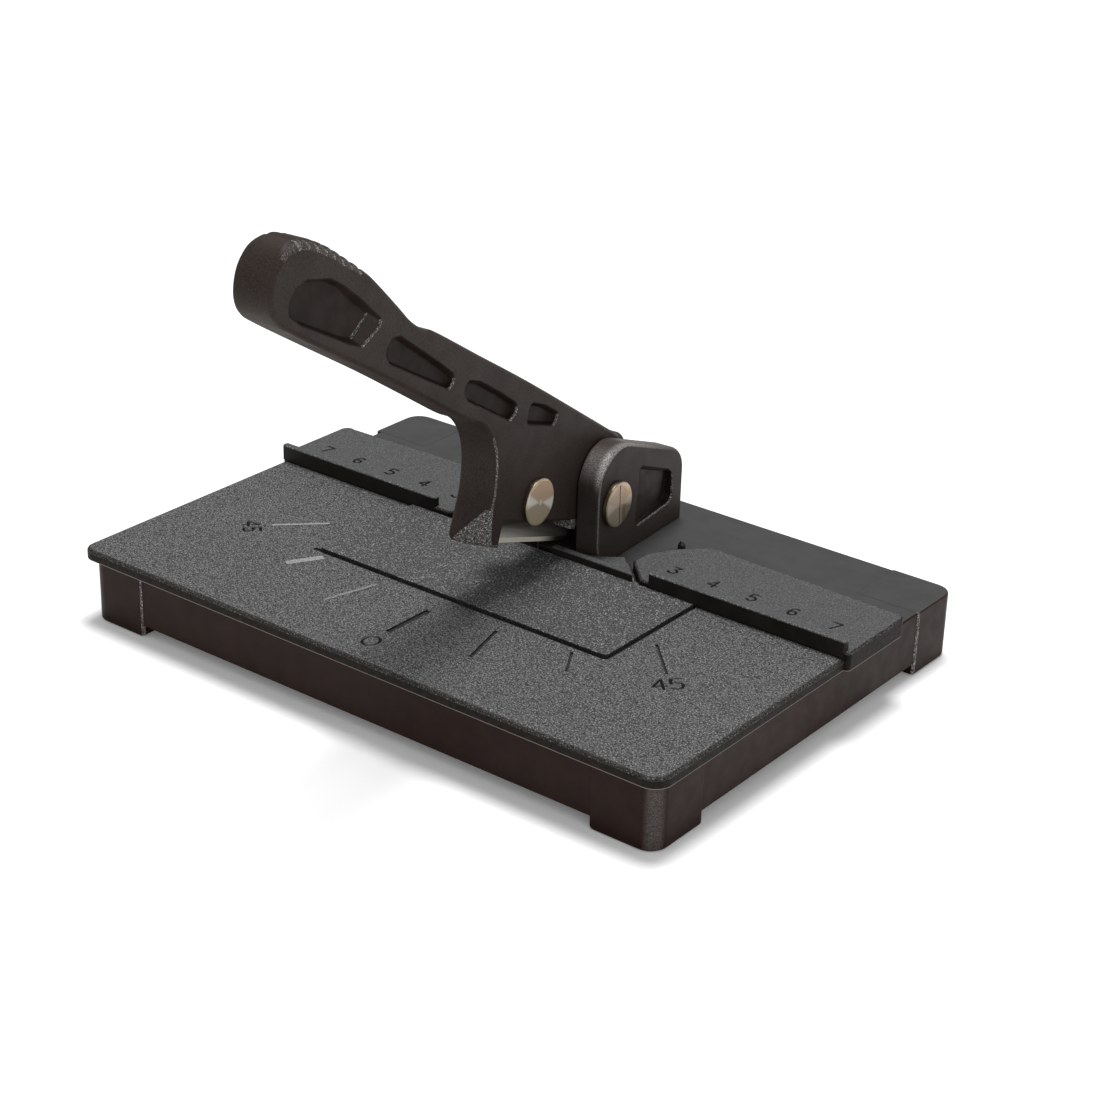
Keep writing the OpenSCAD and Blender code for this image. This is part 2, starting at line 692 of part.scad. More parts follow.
module lever_outline() {
    polygon(concat([[lever_tail, -lever_belly],
        [lever_tail, lever_top_shares[0][1] * lever_crown - lever_belly / 2],
        [lever_tail - lever_belly / 2, lever_top_shares[0][1] * lever_crown]],
        on_lever(lever_top_shares), on_lever(lever_tip_shares),
        on_lever(lever_low_shares),
        [for (t = throat_shares) [-t[0] * claw_front, t[1] * lever_crown]],
        [[-claw_front, claw / 5 - claw_low], [claw / 4 - claw_front, -claw_low],
         [claw - claw_front, -claw_low], [claw - claw_front, -lever_belly]]));
}
function heel_outline(g) = [[heel_back + g, -edge_low - over], [heel_back + g, -heel_top],
    [-heel_step + g, -heel_top], [-heel_step + g, blade_top + g],
    [heel_back - blade_length - g, blade_top + g],
    [heel_back - blade_length - g, -edge_low - over]];
module lever() {
    color("#37332f") on_pivot() difference() {
        union() {
            across(lever_thick) lever_outline();
            translate([-lever_thick / 2, -lug_front - lug_long, -lever_belly - lug_low])
                cube([lever_thick, lug_long, lug_low + over]);
        }
        for (s = [-1, 1]) translate([s * (lever_thick / 2 - pocket / 2 + over / 2), 0, 0])
            for (p = pocket_shares) across(pocket + over)
                polygon(rounded(on_lever(p), pocket_round / 2));
        across(blade_thick + 2 * blade_room) polygon(heel_outline(blade_gap));
        cross_rod(-lever_thick, bush_r + seat, 2 * lever_thick);
        cross_rod(-lever_thick, clamp_screw_d / 2 + seat, 2 * lever_thick,
            -clamp_front, -clamp_drop);
        for (p = locating_places) cross_rod(-lever_thick / 4 - seat,
            locating_d / 2 + seat, lever_thick / 2 + 2 * seat, -p[0], p[1]);
        for (i = [0:grip_grooves - 1]) {
            f = i / (grip_grooves - 1);
            q = on_lever([grip_start_share * (1 - f) + grip_end_share * f])[0];
            cross_rod(-lever_thick, groove_r, 2 * lever_thick, q[0], q[1]);
        }
    }
}
module pivot_bush() {
    color("#a58a55") on_pivot() difference() {
        cross_rod(-lever_thick / 2, bush_r, lever_thick);
        cross_rod(-lever_thick, pivot_screw_d / 2 + run, 2 * lever_thick);
    }
}
module blade() {
    color("#c9cbcd") on_pivot() difference() {
        intersection() {
            across(blade_thick) polygon(heel_outline(0));
            translate([0, heel_back + over, 0]) rotate([90, 0, 0])
                linear_extrude(blade_length + 2 * over)
                polygon([[-edge_thick / 2, -edge_low], [edge_thick / 2, -edge_low],
                    [blade_thick / 2, bevel - edge_low], [blade_thick / 2, blade_top],
                    [-blade_thick / 2, blade_top], [-blade_thick / 2, bevel - edge_low]]);
        }
        cross_rod(-lever_thick, clamp_screw_d / 2 + seat, 2 * lever_thick,
            -clamp_front, -clamp_drop);
        for (p = locating_places) cross_rod(-lever_thick, locating_d / 2 + seat,
            2 * lever_thick, -p[0], p[1]);
    }
}
module blade_pins() {
    color("silver") on_pivot() for (p = locating_places)
        cross_rod(-lever_thick / 4, locating_d / 2, lever_thick / 2, -p[0], p[1]);
}
module clamp_screw() {
    far = -lever_thick / 2 - clamp_washer - clamp_nut - clamp_tail;
    color("#b9ad9d") on_pivot() translate([0, -clamp_front, -clamp_drop]) {
        cross_rod(far, clamp_screw_d / 2, lever_thick / 2 - far);
        cross_rod(lever_thick / 2, clamp_head_d / 2, clamp_head);
    }
}
module clamp_washer() {
    color("silver") on_pivot() translate([-lever_thick / 2 - clamp_washer, -clamp_front,
        -clamp_drop]) difference() {
            cross_rod(0, clamp_washer_d / 2, clamp_washer);
            cross_rod(-over, clamp_screw_d / 2 + seat, clamp_washer + 2 * over);
        }
}
module clamp_nut() {
    color("silver") on_pivot() translate([-lever_thick / 2 - clamp_washer - clamp_nut,
        -clamp_front, -clamp_drop]) difference() {
            rotate([0, 90, 0]) hex(clamp_nut_d, clamp_nut);
            cross_rod(-over, clamp_screw_d / 2 + seat, clamp_nut + 2 * over);
        }
}

base_tray();
front_deck();
cutting_plate();
left_fence();
right_fence();
left_low_fence();
right_low_fence();
stop_pins();
deck_screws();
fence_screws();
swivel_bolt();
swivel_washer();
swivel_spring();
swivel_nut();
yoke();
pivot_screw();
pivot_washer();
pivot_nut();
lever();
pivot_bush();
blade();
blade_pins();
clamp_screw();
clamp_washer();
clamp_nut();
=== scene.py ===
import json
from math import acos, atan2, cos, degrees, hypot, pi, radians, sin, tan

import bmesh
import bpy
from mathutils import Matrix, Vector
from mathutils.geometry import delaunay_2d_cdt

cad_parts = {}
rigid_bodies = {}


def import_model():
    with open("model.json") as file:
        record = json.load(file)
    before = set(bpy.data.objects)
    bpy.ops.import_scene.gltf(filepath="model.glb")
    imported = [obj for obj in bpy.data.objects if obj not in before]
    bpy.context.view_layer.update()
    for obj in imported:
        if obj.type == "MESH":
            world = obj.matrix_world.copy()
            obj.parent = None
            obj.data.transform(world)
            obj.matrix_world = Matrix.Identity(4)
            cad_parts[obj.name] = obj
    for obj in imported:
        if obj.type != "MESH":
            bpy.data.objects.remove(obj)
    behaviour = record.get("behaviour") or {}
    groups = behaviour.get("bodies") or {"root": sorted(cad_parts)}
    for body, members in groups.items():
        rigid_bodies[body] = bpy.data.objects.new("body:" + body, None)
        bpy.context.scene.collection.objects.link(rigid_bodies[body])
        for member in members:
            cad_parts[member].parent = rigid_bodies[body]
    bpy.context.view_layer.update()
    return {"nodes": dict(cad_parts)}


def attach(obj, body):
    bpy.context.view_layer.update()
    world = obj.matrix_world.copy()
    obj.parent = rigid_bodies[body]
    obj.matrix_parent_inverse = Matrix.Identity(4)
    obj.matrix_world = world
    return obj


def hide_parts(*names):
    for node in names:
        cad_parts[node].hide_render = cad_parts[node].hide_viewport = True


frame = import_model()

MM = 0.001
SIDES = {-1: "left", 1: "right"}

# Sizes are in millimetres, counted from the swivel axis to the right, from the front
# wall backwards and from the bench upwards. The frame's origin lies this far off.
RIGHT, FRONT = 0.5, 37.216
AXIS_BACK = 87.2                            # the swivel axis behind the front wall
HEAD_TURN, LEVER_LIFT = 4.3, 19.2           # how yoke and lever stand at rest
PIVOT_FRONT, PIVOT_HEIGHT = 16.2, 28.4      # the cross screw before and above the axis

WALL_LEFT, WALL_RIGHT, DEPTH = -74.65, 75.65, 108.3
LEDGE, DECK_TOP, PLATE_TOP, REAR_TOP = 14.2, 16.7, 17.3, 14.7
PLATFORM, LIP_TOP = 18.5, 20.7              # tops of the fences and of their lips
FACE, FENCE_BACK = 61.7, 85.1               # front and rear of the fences
WELL, PLAY = 24.04, 0.05                    # round opening for the yoke, and its play
YOKE_HALF, EAR_GAP = 10.8, 9.6
REACH, CROWN, LEVER_HALF = 124.0, 46.6, 4.5  # the lever's length, height, half thickness


def moved(x, y, z):
    """A shift in millimetres."""
    return Matrix.Translation(Vector((x, y, z)) * MM)


def shown(name, data):
    """An object of the scene."""
    obj = bpy.data.objects.new(name, data)
    bpy.context.scene.collection.objects.link(obj)
    return obj


TRAY = moved(-RIGHT, -FRONT, 0)
HEAD = moved(-RIGHT, AXIS_BACK - FRONT, 0) @ Matrix.Rotation(radians(HEAD_TURN), 4, "Z")
ARM = (HEAD @ moved(0, -PIVOT_FRONT, PIVOT_HEIGHT)
       @ Matrix.Rotation(radians(-LEVER_LIFT), 4, "X"))
PLACES = {"base": TRAY, "head": HEAD, "arm": ARM}
PIVOT_PLACE = HEAD @ moved(YOKE_HALF, -PIVOT_FRONT, PIVOT_HEIGHT)
CLAMP_PLACE = ARM @ moved(LEVER_HALF, -22.3, -0.9)


# Camera

CAMERA_PLACE = (293.583, -319.534, 242.974)
CAMERA_ANGLES = (37.375, 25.129, 1.575)     # to the side, downwards, roll
LENS, FILM = 80.232, 36


def aim_camera():
    azimuth, elevation, roll = (radians(a) for a in CAMERA_ANGLES)
    look = Vector((-sin(azimuth) * cos(elevation),
                   cos(azimuth) * cos(elevation), -sin(elevation)))
    flat_right = Vector((cos(azimuth), sin(azimuth), 0))
    flat_up = flat_right.cross(look)
    right = cos(roll) * flat_right + sin(roll) * flat_up
    up = -sin(roll) * flat_right + cos(roll) * flat_up
    turn = Matrix((right, up, -look)).transposed().to_4x4()
    data = bpy.data.cameras.new("camera")
    data.sensor_width, data.lens, data.clip_start = FILM, LENS, 0.01
    camera = shown("camera", data)
    camera.matrix_world = TRAY @ moved(*CAMERA_PLACE) @ turn
    bpy.context.scene.camera = camera


aim_camera()


# Shader maths

class Amount:
    """A grey value in a material that is reckoned with like a number."""

    def __init__(self, nodes, socket):
        self.nodes, self.socket = nodes, socket

    def __add__(self, other):
        return self.nodes.sum("ADD", self, other)

    __radd__ = __add__

    def __sub__(self, other):
        return self.nodes.sum("SUBTRACT", self, other)

    def __rsub__(self, other):
        return self.nodes.sum("SUBTRACT", other, self)

    def __mul__(self, other):
        return self.nodes.sum("MULTIPLY", self, other)

    __rmul__ = __mul__

    def __truediv__(self, other):
        return self.nodes.sum("DIVIDE", self, other)

    def __rtruediv__(self, other):
        return self.nodes.sum("DIVIDE", other, self)


def light_of(shade):
    """Light amounts of a screen colour, which is red, green and blue from 0 to 255 or
    one number for a grey."""
    parts = [c / 255 for c in (shade if isinstance(shade, tuple) else (shade,) * 3)]
    return tuple(c / 12.92 if c <= 0.04045 else ((c + 0.055) / 1.055) ** 2.4 for c in parts)


class Nodes:
    """The nodes of a finish or of the sky."""

    def __init__(self, tree):
        self.tree = tree

    def node(self, kind, settings=None, values=None):
        made = self.tree.nodes.new(kind)
        for key, value in (settings or {}).items():
            setattr(made, key, value)
        for key, value in (values or {}).items():
            self.put(made.inputs[key], value)
        return made

    def put(self, socket, value):
        """Links or sets a socket; one for colours is given a screen colour."""
        if isinstance(value, Amount):
            value = value.socket
        if isinstance(value, bpy.types.NodeSocket):
            self.tree.links.new(value, socket)
        elif socket.type == "RGBA":
            socket.default_value = (*light_of(value), 1)
        else:
            socket.default_value = value

    def sum(self, how, a, b=0.0):
        made = self.node("ShaderNodeMath", {"operation": how}, {0: a, 1: b})
        return Amount(self, made.outputs[0])


class Finish(Nodes):
    """A material of one surface."""

    def __init__(self, name, place=None, **constants):
        self.mat = bpy.data.materials.new(name)
        self.mat.use_nodes = True
        super().__init__(self.mat.node_tree)
        self.shader = self.tree.nodes["Principled BSDF"]
        self.spot = self.node("ShaderNodeTexCoord").outputs["Object"]
        if place is not None:
            self.spot = self.node("ShaderNodeMapping", {"vector_type": "TEXTURE"}, {
                "Vector": self.spot, "Location": place.to_translation(),
                "Rotation": place.to_euler()}).outputs["Vector"]
        for key, value in constants.items():
            self.shader.inputs[key.replace("_", " ")].default_value = value

    def step(self, value, low, high, out_low=0.0, out_high=1.0):
        """Runs from out_low to out_high while the value runs from low to high."""
        made = self.node("ShaderNodeMapRange", {"clamp": True, "interpolation_type": "SMOOTHSTEP"},
                         {"Value": value, "From Min": low, "From Max": high,
                          "To Min": out_low, "To Max": out_high})
        return Amount(self, made.outputs["Result"])

    def spread(self, noise, out_low=0.0, out_high=1.0):
        """Draws a noise, most of which lies between 0.3 and 0.7, over the whole run."""
        return self.step(noise, 0.3, 0.7, out_low, out_high)

    def along(self, axis):
        """Place along X, Y or Z in millimetres of the piece."""
        parts = self.node("ShaderNodeSeparateXYZ", values={0: self.spot})
        return Amount(self, parts.outputs[axis]) * (1 / MM)

    def stretch(self, x, y, z):
        made = self.node("ShaderNodeVectorMath", {"operation": "MULTIPLY"},
                         {0: self.spot, 1: Vector((x, y, z))})
        return made.outputs["Vector"]

    def noise(self, size, detail=2.0, rough=0.5, where=None):
        """Cloudy pattern whose cells are so many millimetres wide."""
        made = self.node("ShaderNodeTexNoise", {"noise_dimensions": "3D"},
                         {"Vector": where or self.spot, "Scale": 1 / (size * MM),
                          "Detail": detail, "Roughness": rough})
        return Amount(self, made.outputs["Fac"])

    def mix(self, share, a, b):
        """Colour a where the share is 0 and colour b where it is 1."""
        factor, first, second, result = 0, 6, 7, 2      # this node's sockets for colours
        made = self.node("ShaderNodeMix", {"data_type": "RGBA"},
                         {factor: share, first: a, second: b})
        return made.outputs[result]

    def facing(self, way):
        """How squarely the surface looks that way, nothing where it looks away."""
        looks = self.node("ShaderNodeTexCoord").outputs["Normal"]
        made = self.node("ShaderNodeVectorMath", {"operation": "DOT_PRODUCT"}, {0: looks, 1: way})
        return self.sum("MAXIMUM", Amount(self, made.outputs["Value"]), 0.0)

    def pale_edges(self, body, place, corner, side, roof, narrow):
        """Paints a highlight of pale grain on rounded edges, chosen by the way the surface faces:
        so much between front and top, between front and side, and between side and top, which
        fades towards the rear."""
        turn = place.to_3x3()
        right, front, up = (self.facing(turn @ Vector(way))
                            for way in ((1, 0, 0), (0, -1, 0), (0, 0, 1)))
        forward = self.step(self.along("Y"), 12.0, -14.0, 0.12, 1.0)
        front_edge = front * up * 2 * self.step(right, 0.0, 0.35, 0.4, 1.0)
        side_edge = right * up * 2 + up * 0.3
        share = self.step(front * right * 2, narrow, 1.0) * side
        for amount, low, level in ((front_edge, 0.1, corner), (side_edge, 0.3, roof)):
            if level:
                # share of painted highlight on this kind of edge
                shown = self.step(amount, low, 0.95) * (forward * level)
                share = self.sum("MAXIMUM", share, shown)
        grain = self.spread(self.noise(EDGE_GRAIN, 1.0, 0.6))
        return self.mix(share, body, self.mix(grain, (104, 102, 100), (184, 182, 179)))

    def color(self, value):
        self.put(self.shader.inputs["Base Color"], value)
        return self

    def rough(self, value):
        self.put(self.shader.inputs["Roughness"], value)

    def bump(self, height, depth):
        """Fine relief, so many millimetres deep."""
        made = self.node("ShaderNodeBump", values={"Strength": 1.0, "Distance": depth * MM,
                                                   "Height": height})
        self.put(self.shader.inputs["Normal"], made.outputs["Normal"])
        return self


# Finishes

# Widths of the grain's cells in millimetres.
CAST_GRAIN, FINE_GRAIN, EDGE_GRAIN, TOOTH_GRAIN = 0.36, 0.3, 0.27, 0.34


def grained(name, dark, light, speck, size=CAST_GRAIN, relief=0.03, specks=0.0):
    """Spark-eroded cast surface: fine dark and light grain with bright points."""
    made = Finish(name, Specular_IOR_Level=0.18)
    fine = made.noise(size, 1.0, 0.6)
    body = made.mix(made.step(fine, 0.36, 0.64), dark, light)
    points = made.step(made.noise(size * 0.9, 0.0, 0.5, made.stretch(1.0, 1.13, 0.91)),
                       0.62 - specks, 0.74 - specks)
    made.color(made.mix(points, body, speck))
    made.rough(made.spread(fine, 0.68, 0.52))
    return made.bump(fine, relief)


def satin(name, dark, light, rough=0.45, size=6.0, tooth=0.25, edges=()):
    """Smooth moulded surface with a slow cloud and a very fine tooth; edges gives the place
    and strengths of a painted highlight of pale grain on its rounded edges."""
    made = Finish(name, edges[0] if edges else None, Specular_IOR_Level=0.1)
    fine = made.noise(TOOTH_GRAIN, 1.0, 0.6)
    cloud = made.spread(made.noise(size))
    body = made.mix(cloud * (1 - tooth) + made.spread(fine) * tooth, dark, light)
    # painted highlight on the rounded edges, where edges is given
    made.color(made.pale_edges(body, *edges) if edges else body)
    made.rough(made.spread(made.noise(size * 0.6), rough - 0.04, rough + 0.05))
    return made.bump(fine, 0.01)


def turned_metal(name, place, shade, glint_fans):
    """Face turned on a lathe: fine rings about the X axis of the place, with painted light: glints
    spreading to its sides, a soft gleam where those are weak, the upper half painted lighter and
    the rim painted darker. Where the glints are weak, its lower left shows a painted reflection of
    the dark deck instead."""
    upper, glint = (208, 178, 150), (255, 252, 244)
    lower, deck_reflection = (shade + 14, shade, shade - 26), (60, 48, 34)
    face = 5.1
    made = Finish(name, place, Metallic=0.6)
    y, z = made.along("Y"), made.along("Z")
    radius = made.sum("SQRT", y * y + z * z)
    rings = made.noise(0.2, 2.0, 0.6, made.node("ShaderNodeCombineXYZ", values={
        "X": radius * MM, "Y": 0.0, "Z": 0.0}).outputs["Vector"])
    sideways = made.sum("ABSOLUTE", y) / (radius + 0.05)
    glint_fan = made.step(sideways, 0.91, 0.995) * made.step(radius, 0.2, 1.2)
    glint_fan = made.sum("MAXIMUM", glint_fan, made.step(radius, 0.9, 0.2) * 0.6)
    # painted highlight across one side
    gleam = made.step(y, 2.2, -0.6) * (1 - glint_fans) * 0.3
    # painted reflection of the dark deck below
    dark = (made.step(made.sum("ABSOLUTE", y - 1.8), 1.0, 0.1)
            * made.step(z, -0.2, -1.6) * (1 - glint_fans) * 0.8)
    # upper half painted lighter than the lower, as light falls from above
    body = made.mix(made.step(z, -1.2, 1.0), lower, upper)
    for share, over in ((gleam, glint), (dark, deck_reflection), (glint_fan * glint_fans, glint),
                        (made.step(rings, 0.35, 0.65) * 0.32, lower),
                        (made.step(radius, face * 0.93, face), lower)):
        body = made.mix(share, body, over)
    made.color(body)
    made.rough(made.spread(rings, 0.3, 0.42))
    return made.bump(rings, 0.01)


def ground_steel(name, dark, light, rough=0.3):
    """Metal ground lengthwise."""
    made = Finish(name, Metallic=0.8)
    lines = made.noise(0.25, 2.0, 0.6, made.stretch(1.0, 0.05, 1.0))
    made.color(made.mix(made.spread(lines), dark, light))
    made.rough(made.spread(lines, rough - 0.05, rough + 0.08))
    return made.bump(lines, 0.002)


def blade_steel():
    """Ground blade with a painted highlight towards its front lower end; elsewhere painted shade
    darkens it.
    """
    made = Finish("blade_steel", ARM, Metallic=0.25, Roughness=0.38)
    low = made.step(made.along("Z"), -6.6, -10.6)
    front = made.step(made.along("Y"), -6.0, -28.0, 0.1, 1.0)
    lines = made.spread(made.noise(0.3, 2.0, 0.6, made.stretch(1.0, 0.04, 1.0)))
    made.color(made.mix(low * front * 0.92 + lines * 0.08, (52, 48, 45), (220, 214, 204)))
    return made.bump(lines, 0.001)


def keen_edge():
    """The bevel with a painted highlight, and painted shade near its heel."""
    made = Finish("blade_edge", ARM, Roughness=0.4, Specular_IOR_Level=0.3)
    bright = made.mix(made.noise(0.5), (206, 200, 184), (246, 240, 226))
    return made.color(made.mix(made.step(made.along("Y"), -3.0, -12.0), (40, 38, 36), bright))


def deck_side():
    """Side of the deck and the fences, with a painted highlight line along its lower rim."""
    made = Finish("deck_side", Specular_IOR_Level=0.1)
    cloud = made.mix(made.spread(made.noise(1.0, 3.0)), (18, 14, 12), (34, 28, 25))
    # painted highlight: a pale band just above the ledge
    rim = made.step(made.along("Z"), LEDGE + 0.22, LEDGE + 0.34, 1.0, 0.0)
    made.color(made.mix(rim, cloud, (124, 112, 104)))
    made.rough(made.spread(made.noise(0.5), 0.45, 0.6))
    return made.bump(made.noise(0.25, 1.0), 0.015)


DECK = grained("deck_grain", 48, 92, 150)
PLATE = grained("plate_grain", 44, 88, 140)
FENCE = grained("fence_grain", (65, 65, 66), (82, 82, 83), 106, FINE_GRAIN, 0.02)
# Pale grain that paints highlights on rounded edges, lit pocket walls, the claw's front and the
# grip grooves; the lug below the lever is made in it too.
EDGE = grained("pale_grain_highlight", (58, 56, 54), (104, 101, 98), (182, 179, 175),
               EDGE_GRAIN, 0.03, 0.02)
# Dimmer pale grain: a painted highlight on the handle's broadly rounded edges.
SOFT_HIGHLIGHT = grained("soft_highlight_grain", (44, 40, 38), (76, 71, 68), (118, 114, 110),
                    EDGE_GRAIN, 0.02)
# Darker copy of the deck grain on the rounded edges of deck and fences: painted shade.
DECK_EDGE_SHADE = grained("deck_edge_shaded_grain", (28, 25, 23), (56, 53, 51), (104, 102, 100),
                    FINE_GRAIN, 0.03)
# Lighter copy of the fence grain on the lips' rounded edges: a painted highlight.
LIP_EDGE_HIGHLIGHT = grained("lip_edge_highlight_grain", 66, 92, 140, FINE_GRAIN, 0.02)
# Painted light in the deck's marks and numbers: highlight in light and faint grain, shade in the
# channel's grain and in the numbers' dark floors. The channel's shade also covers the cutting
# plate's sides.
MARK_HIGHLIGHT, MARK_DIM_HIGHLIGHT, CHANNEL_SHADE = (
    grained(*shades, relief=0.0) for shades in (
        ("cut_highlight", 124, 150, 172), ("cut_dim_highlight", 104, 134, 156), ("cut_channel_shade", 32, 52, 76)))
NUMERAL_SHADE = satin("cut_numeral_shade", (10, 9, 9), (18, 17, 16), 0.6)
DECK_SIDE = deck_side()
REAR = satin("rear_deck", (66, 65, 65), (71, 70, 70), 0.55, tooth=0.1)
# Painted highlight on the tray's rounded upright corners.
WALL = satin("tray_black", (33, 17, 12), (40, 23, 17), 0.42,
             edges=(TRAY, 0.0, 0.17, 0.0, 0.3))
LIP_FACE = satin("lip_black", (30, 28, 26), (43, 41, 38), 0.5)
LEVER = satin("lever_black", (44, 37, 34), (61, 52, 48), 0.45, 9.0, 0.7)
# Darker floor and walls of the pockets: painted shade in the hollows.
POCKET_SHADE = satin("pocket_shaded", (30, 23, 20), (42, 32, 28), 0.5, 4.0)
# Painted highlight on the ears' rounded edges, broadest at their upper front corner.
YOKE = satin("yoke_black", (52, 46, 43), (68, 60, 57), 0.45, 7.0, 0.6,
             edges=(HEAD, 1.0, 0.42, 0.5, 0.75))
PIVOT_NICKEL = turned_metal("pivot_nickel", PIVOT_PLACE, 118, 0.35)
CLAMP_NICKEL = turned_metal("clamp_nickel", CLAMP_PLACE, 168, 1.0)
# Dark brown side of the screw discs: painted shade.
RIM_SHADE = ground_steel("disc_rim_shaded", (58, 50, 40), (92, 82, 66), 0.4)
STEEL = blade_steel()
KEEN = keen_edge()
ZINC = ground_steel("zinc", (122, 122, 124), (160, 160, 162), 0.4)
BRONZE = ground_steel("bush_bronze", (140, 108, 66), (176, 140, 90), 0.35)
PIN = ground_steel("pin_steel", (44, 43, 42), (78, 77, 76))


# Outlines

AXIS = (0, AXIS_BACK)


def area(points):
    return sum(a[0] * b[1] - b[0] * a[1] for a, b in zip(points, points[1:] + points[:1])) / 2


def leftwards(points):
    """The outline run anticlockwise."""
    points = [tuple(p) for p in points]
    return points if area(points) > 0 else points[::-1]


def arc(centre, radius, start, end, pieces):
    return [(centre[0] + radius * cos(radians(start + (end - start) * i / pieces)),
             centre[1] + radius * sin(radians(start + (end - start) * i / pieces)))
            for i in range(pieces + 1)]


def bearing(x, back):
    """Direction in which a place on the deck lies from the swivel axis."""
    return degrees(atan2(back - AXIS_BACK, x))


def progress(value, start, end):
    """How far the value has come from start to end, from 0 to 1."""
    return max(0.0, min(1.0, (value - start) / (end - start)))


def ease(value, start, end):
    """The same with a soft beginning and end."""
    t = progress(value, start, end)
    return t * t * (3 - 2 * t)


def rounded(points, radii, pieces=6):
    """The outline with its corners rounded, by one radius or by one for each corner. A
    corner takes up less than half of a side, and one that is nearly flat stays."""
    side_share, nearly_flat = 0.49, 1.55
    out = []
    radii = radii if isinstance(radii, (list, tuple)) else [radii] * len(points)
    for i, radius in enumerate(radii):
        a, b, c = (Vector(points[(i + k) % len(points)]) for k in (-1, 0, 1))
        u, v = (a - b), (c - b)
        reach = min(u.length, v.length) * side_share
        u.normalize(), v.normalize()
        half = acos(max(-1, min(1, u.dot(v)))) / 2
        if radius <= 0 or half > nearly_flat:
            out.append(tuple(b))
            continue
        cut = min(radius / tan(half), reach)
        radius = cut * tan(half)
        middle = b + (u + v).normalized() * radius / sin(half)
        p, q = b + u * cut - middle, b + v * cut - middle
        turn = p.angle_signed(q)
        for k in range(pieces + 1):
            angle = -turn * k / pieces
            out.append((middle.x + p.x * cos(angle) - p.y * sin(angle),
                        middle.y + p.x * sin(angle) + p.y * cos(angle)))
    return out


def box(x0, y0, x1, y1):
    return [(x0, y0), (x1, y0), (x1, y1), (x0, y1)]


def flow(points, pieces):
    """A smooth open line through the points."""
    out = []
    for i in range(len(points) - 1):
        p = [Vector(points[max(0, min(len(points) - 1, i + k))]) for k in (-1, 0, 1, 2)]
        for k in range(pieces):
            t = k / pieces
            out.append(tuple(0.5 * (2 * p[1] + (p[2] - p[0]) * t
                                    + (2 * p[0] - 5 * p[1] + 4 * p[2] - p[3]) * t * t
                                    + (3 * p[1] - p[0] - 3 * p[2] + p[3]) * t ** 3)))
    return out + [tuple(points[-1])]


def split(points, fineness):
    """The outline with points added wherever fineness gives a piece length for a side."""
    out = []
    for a, b in zip(points, points[1:] + points[:1]):
        a, b = Vector(a), Vector(b)
        step = fineness(a, b)
        pieces = max(1, int((b - a).length / step)) if step else 1
        out += [tuple(a.lerp(b, k / pieces)) for k in range(pieces)]
    return out


def shrunk(points, by):
    """The anticlockwise outline moved inwards, or outwards for a negative amount. A very
    sharp corner moves no further than a blunter one would."""
    blunt, tiny = 0.35, 1e-6
    if not by:
        return [tuple(p) for p in points]
    out = []
    for i in range(len(points)):
        a, b, c = (Vector(points[(i + k) % len(points)]) for k in (-1, 0, 1))
        u, v = (b - a).normalized(), (c - b).normalized()
        # Two points in one place give a side no direction.
        if u.length < 0.5:
            u = v
        if v.length < 0.5:
            v = u
        lean = Vector((-u.y - v.y, u.x + v.x))
        scale = by / max(blunt, 0.5 * lean.length_squared) if lean.length > tiny else 0
        out.append(tuple(b + lean * scale))
    return out


# Building pieces

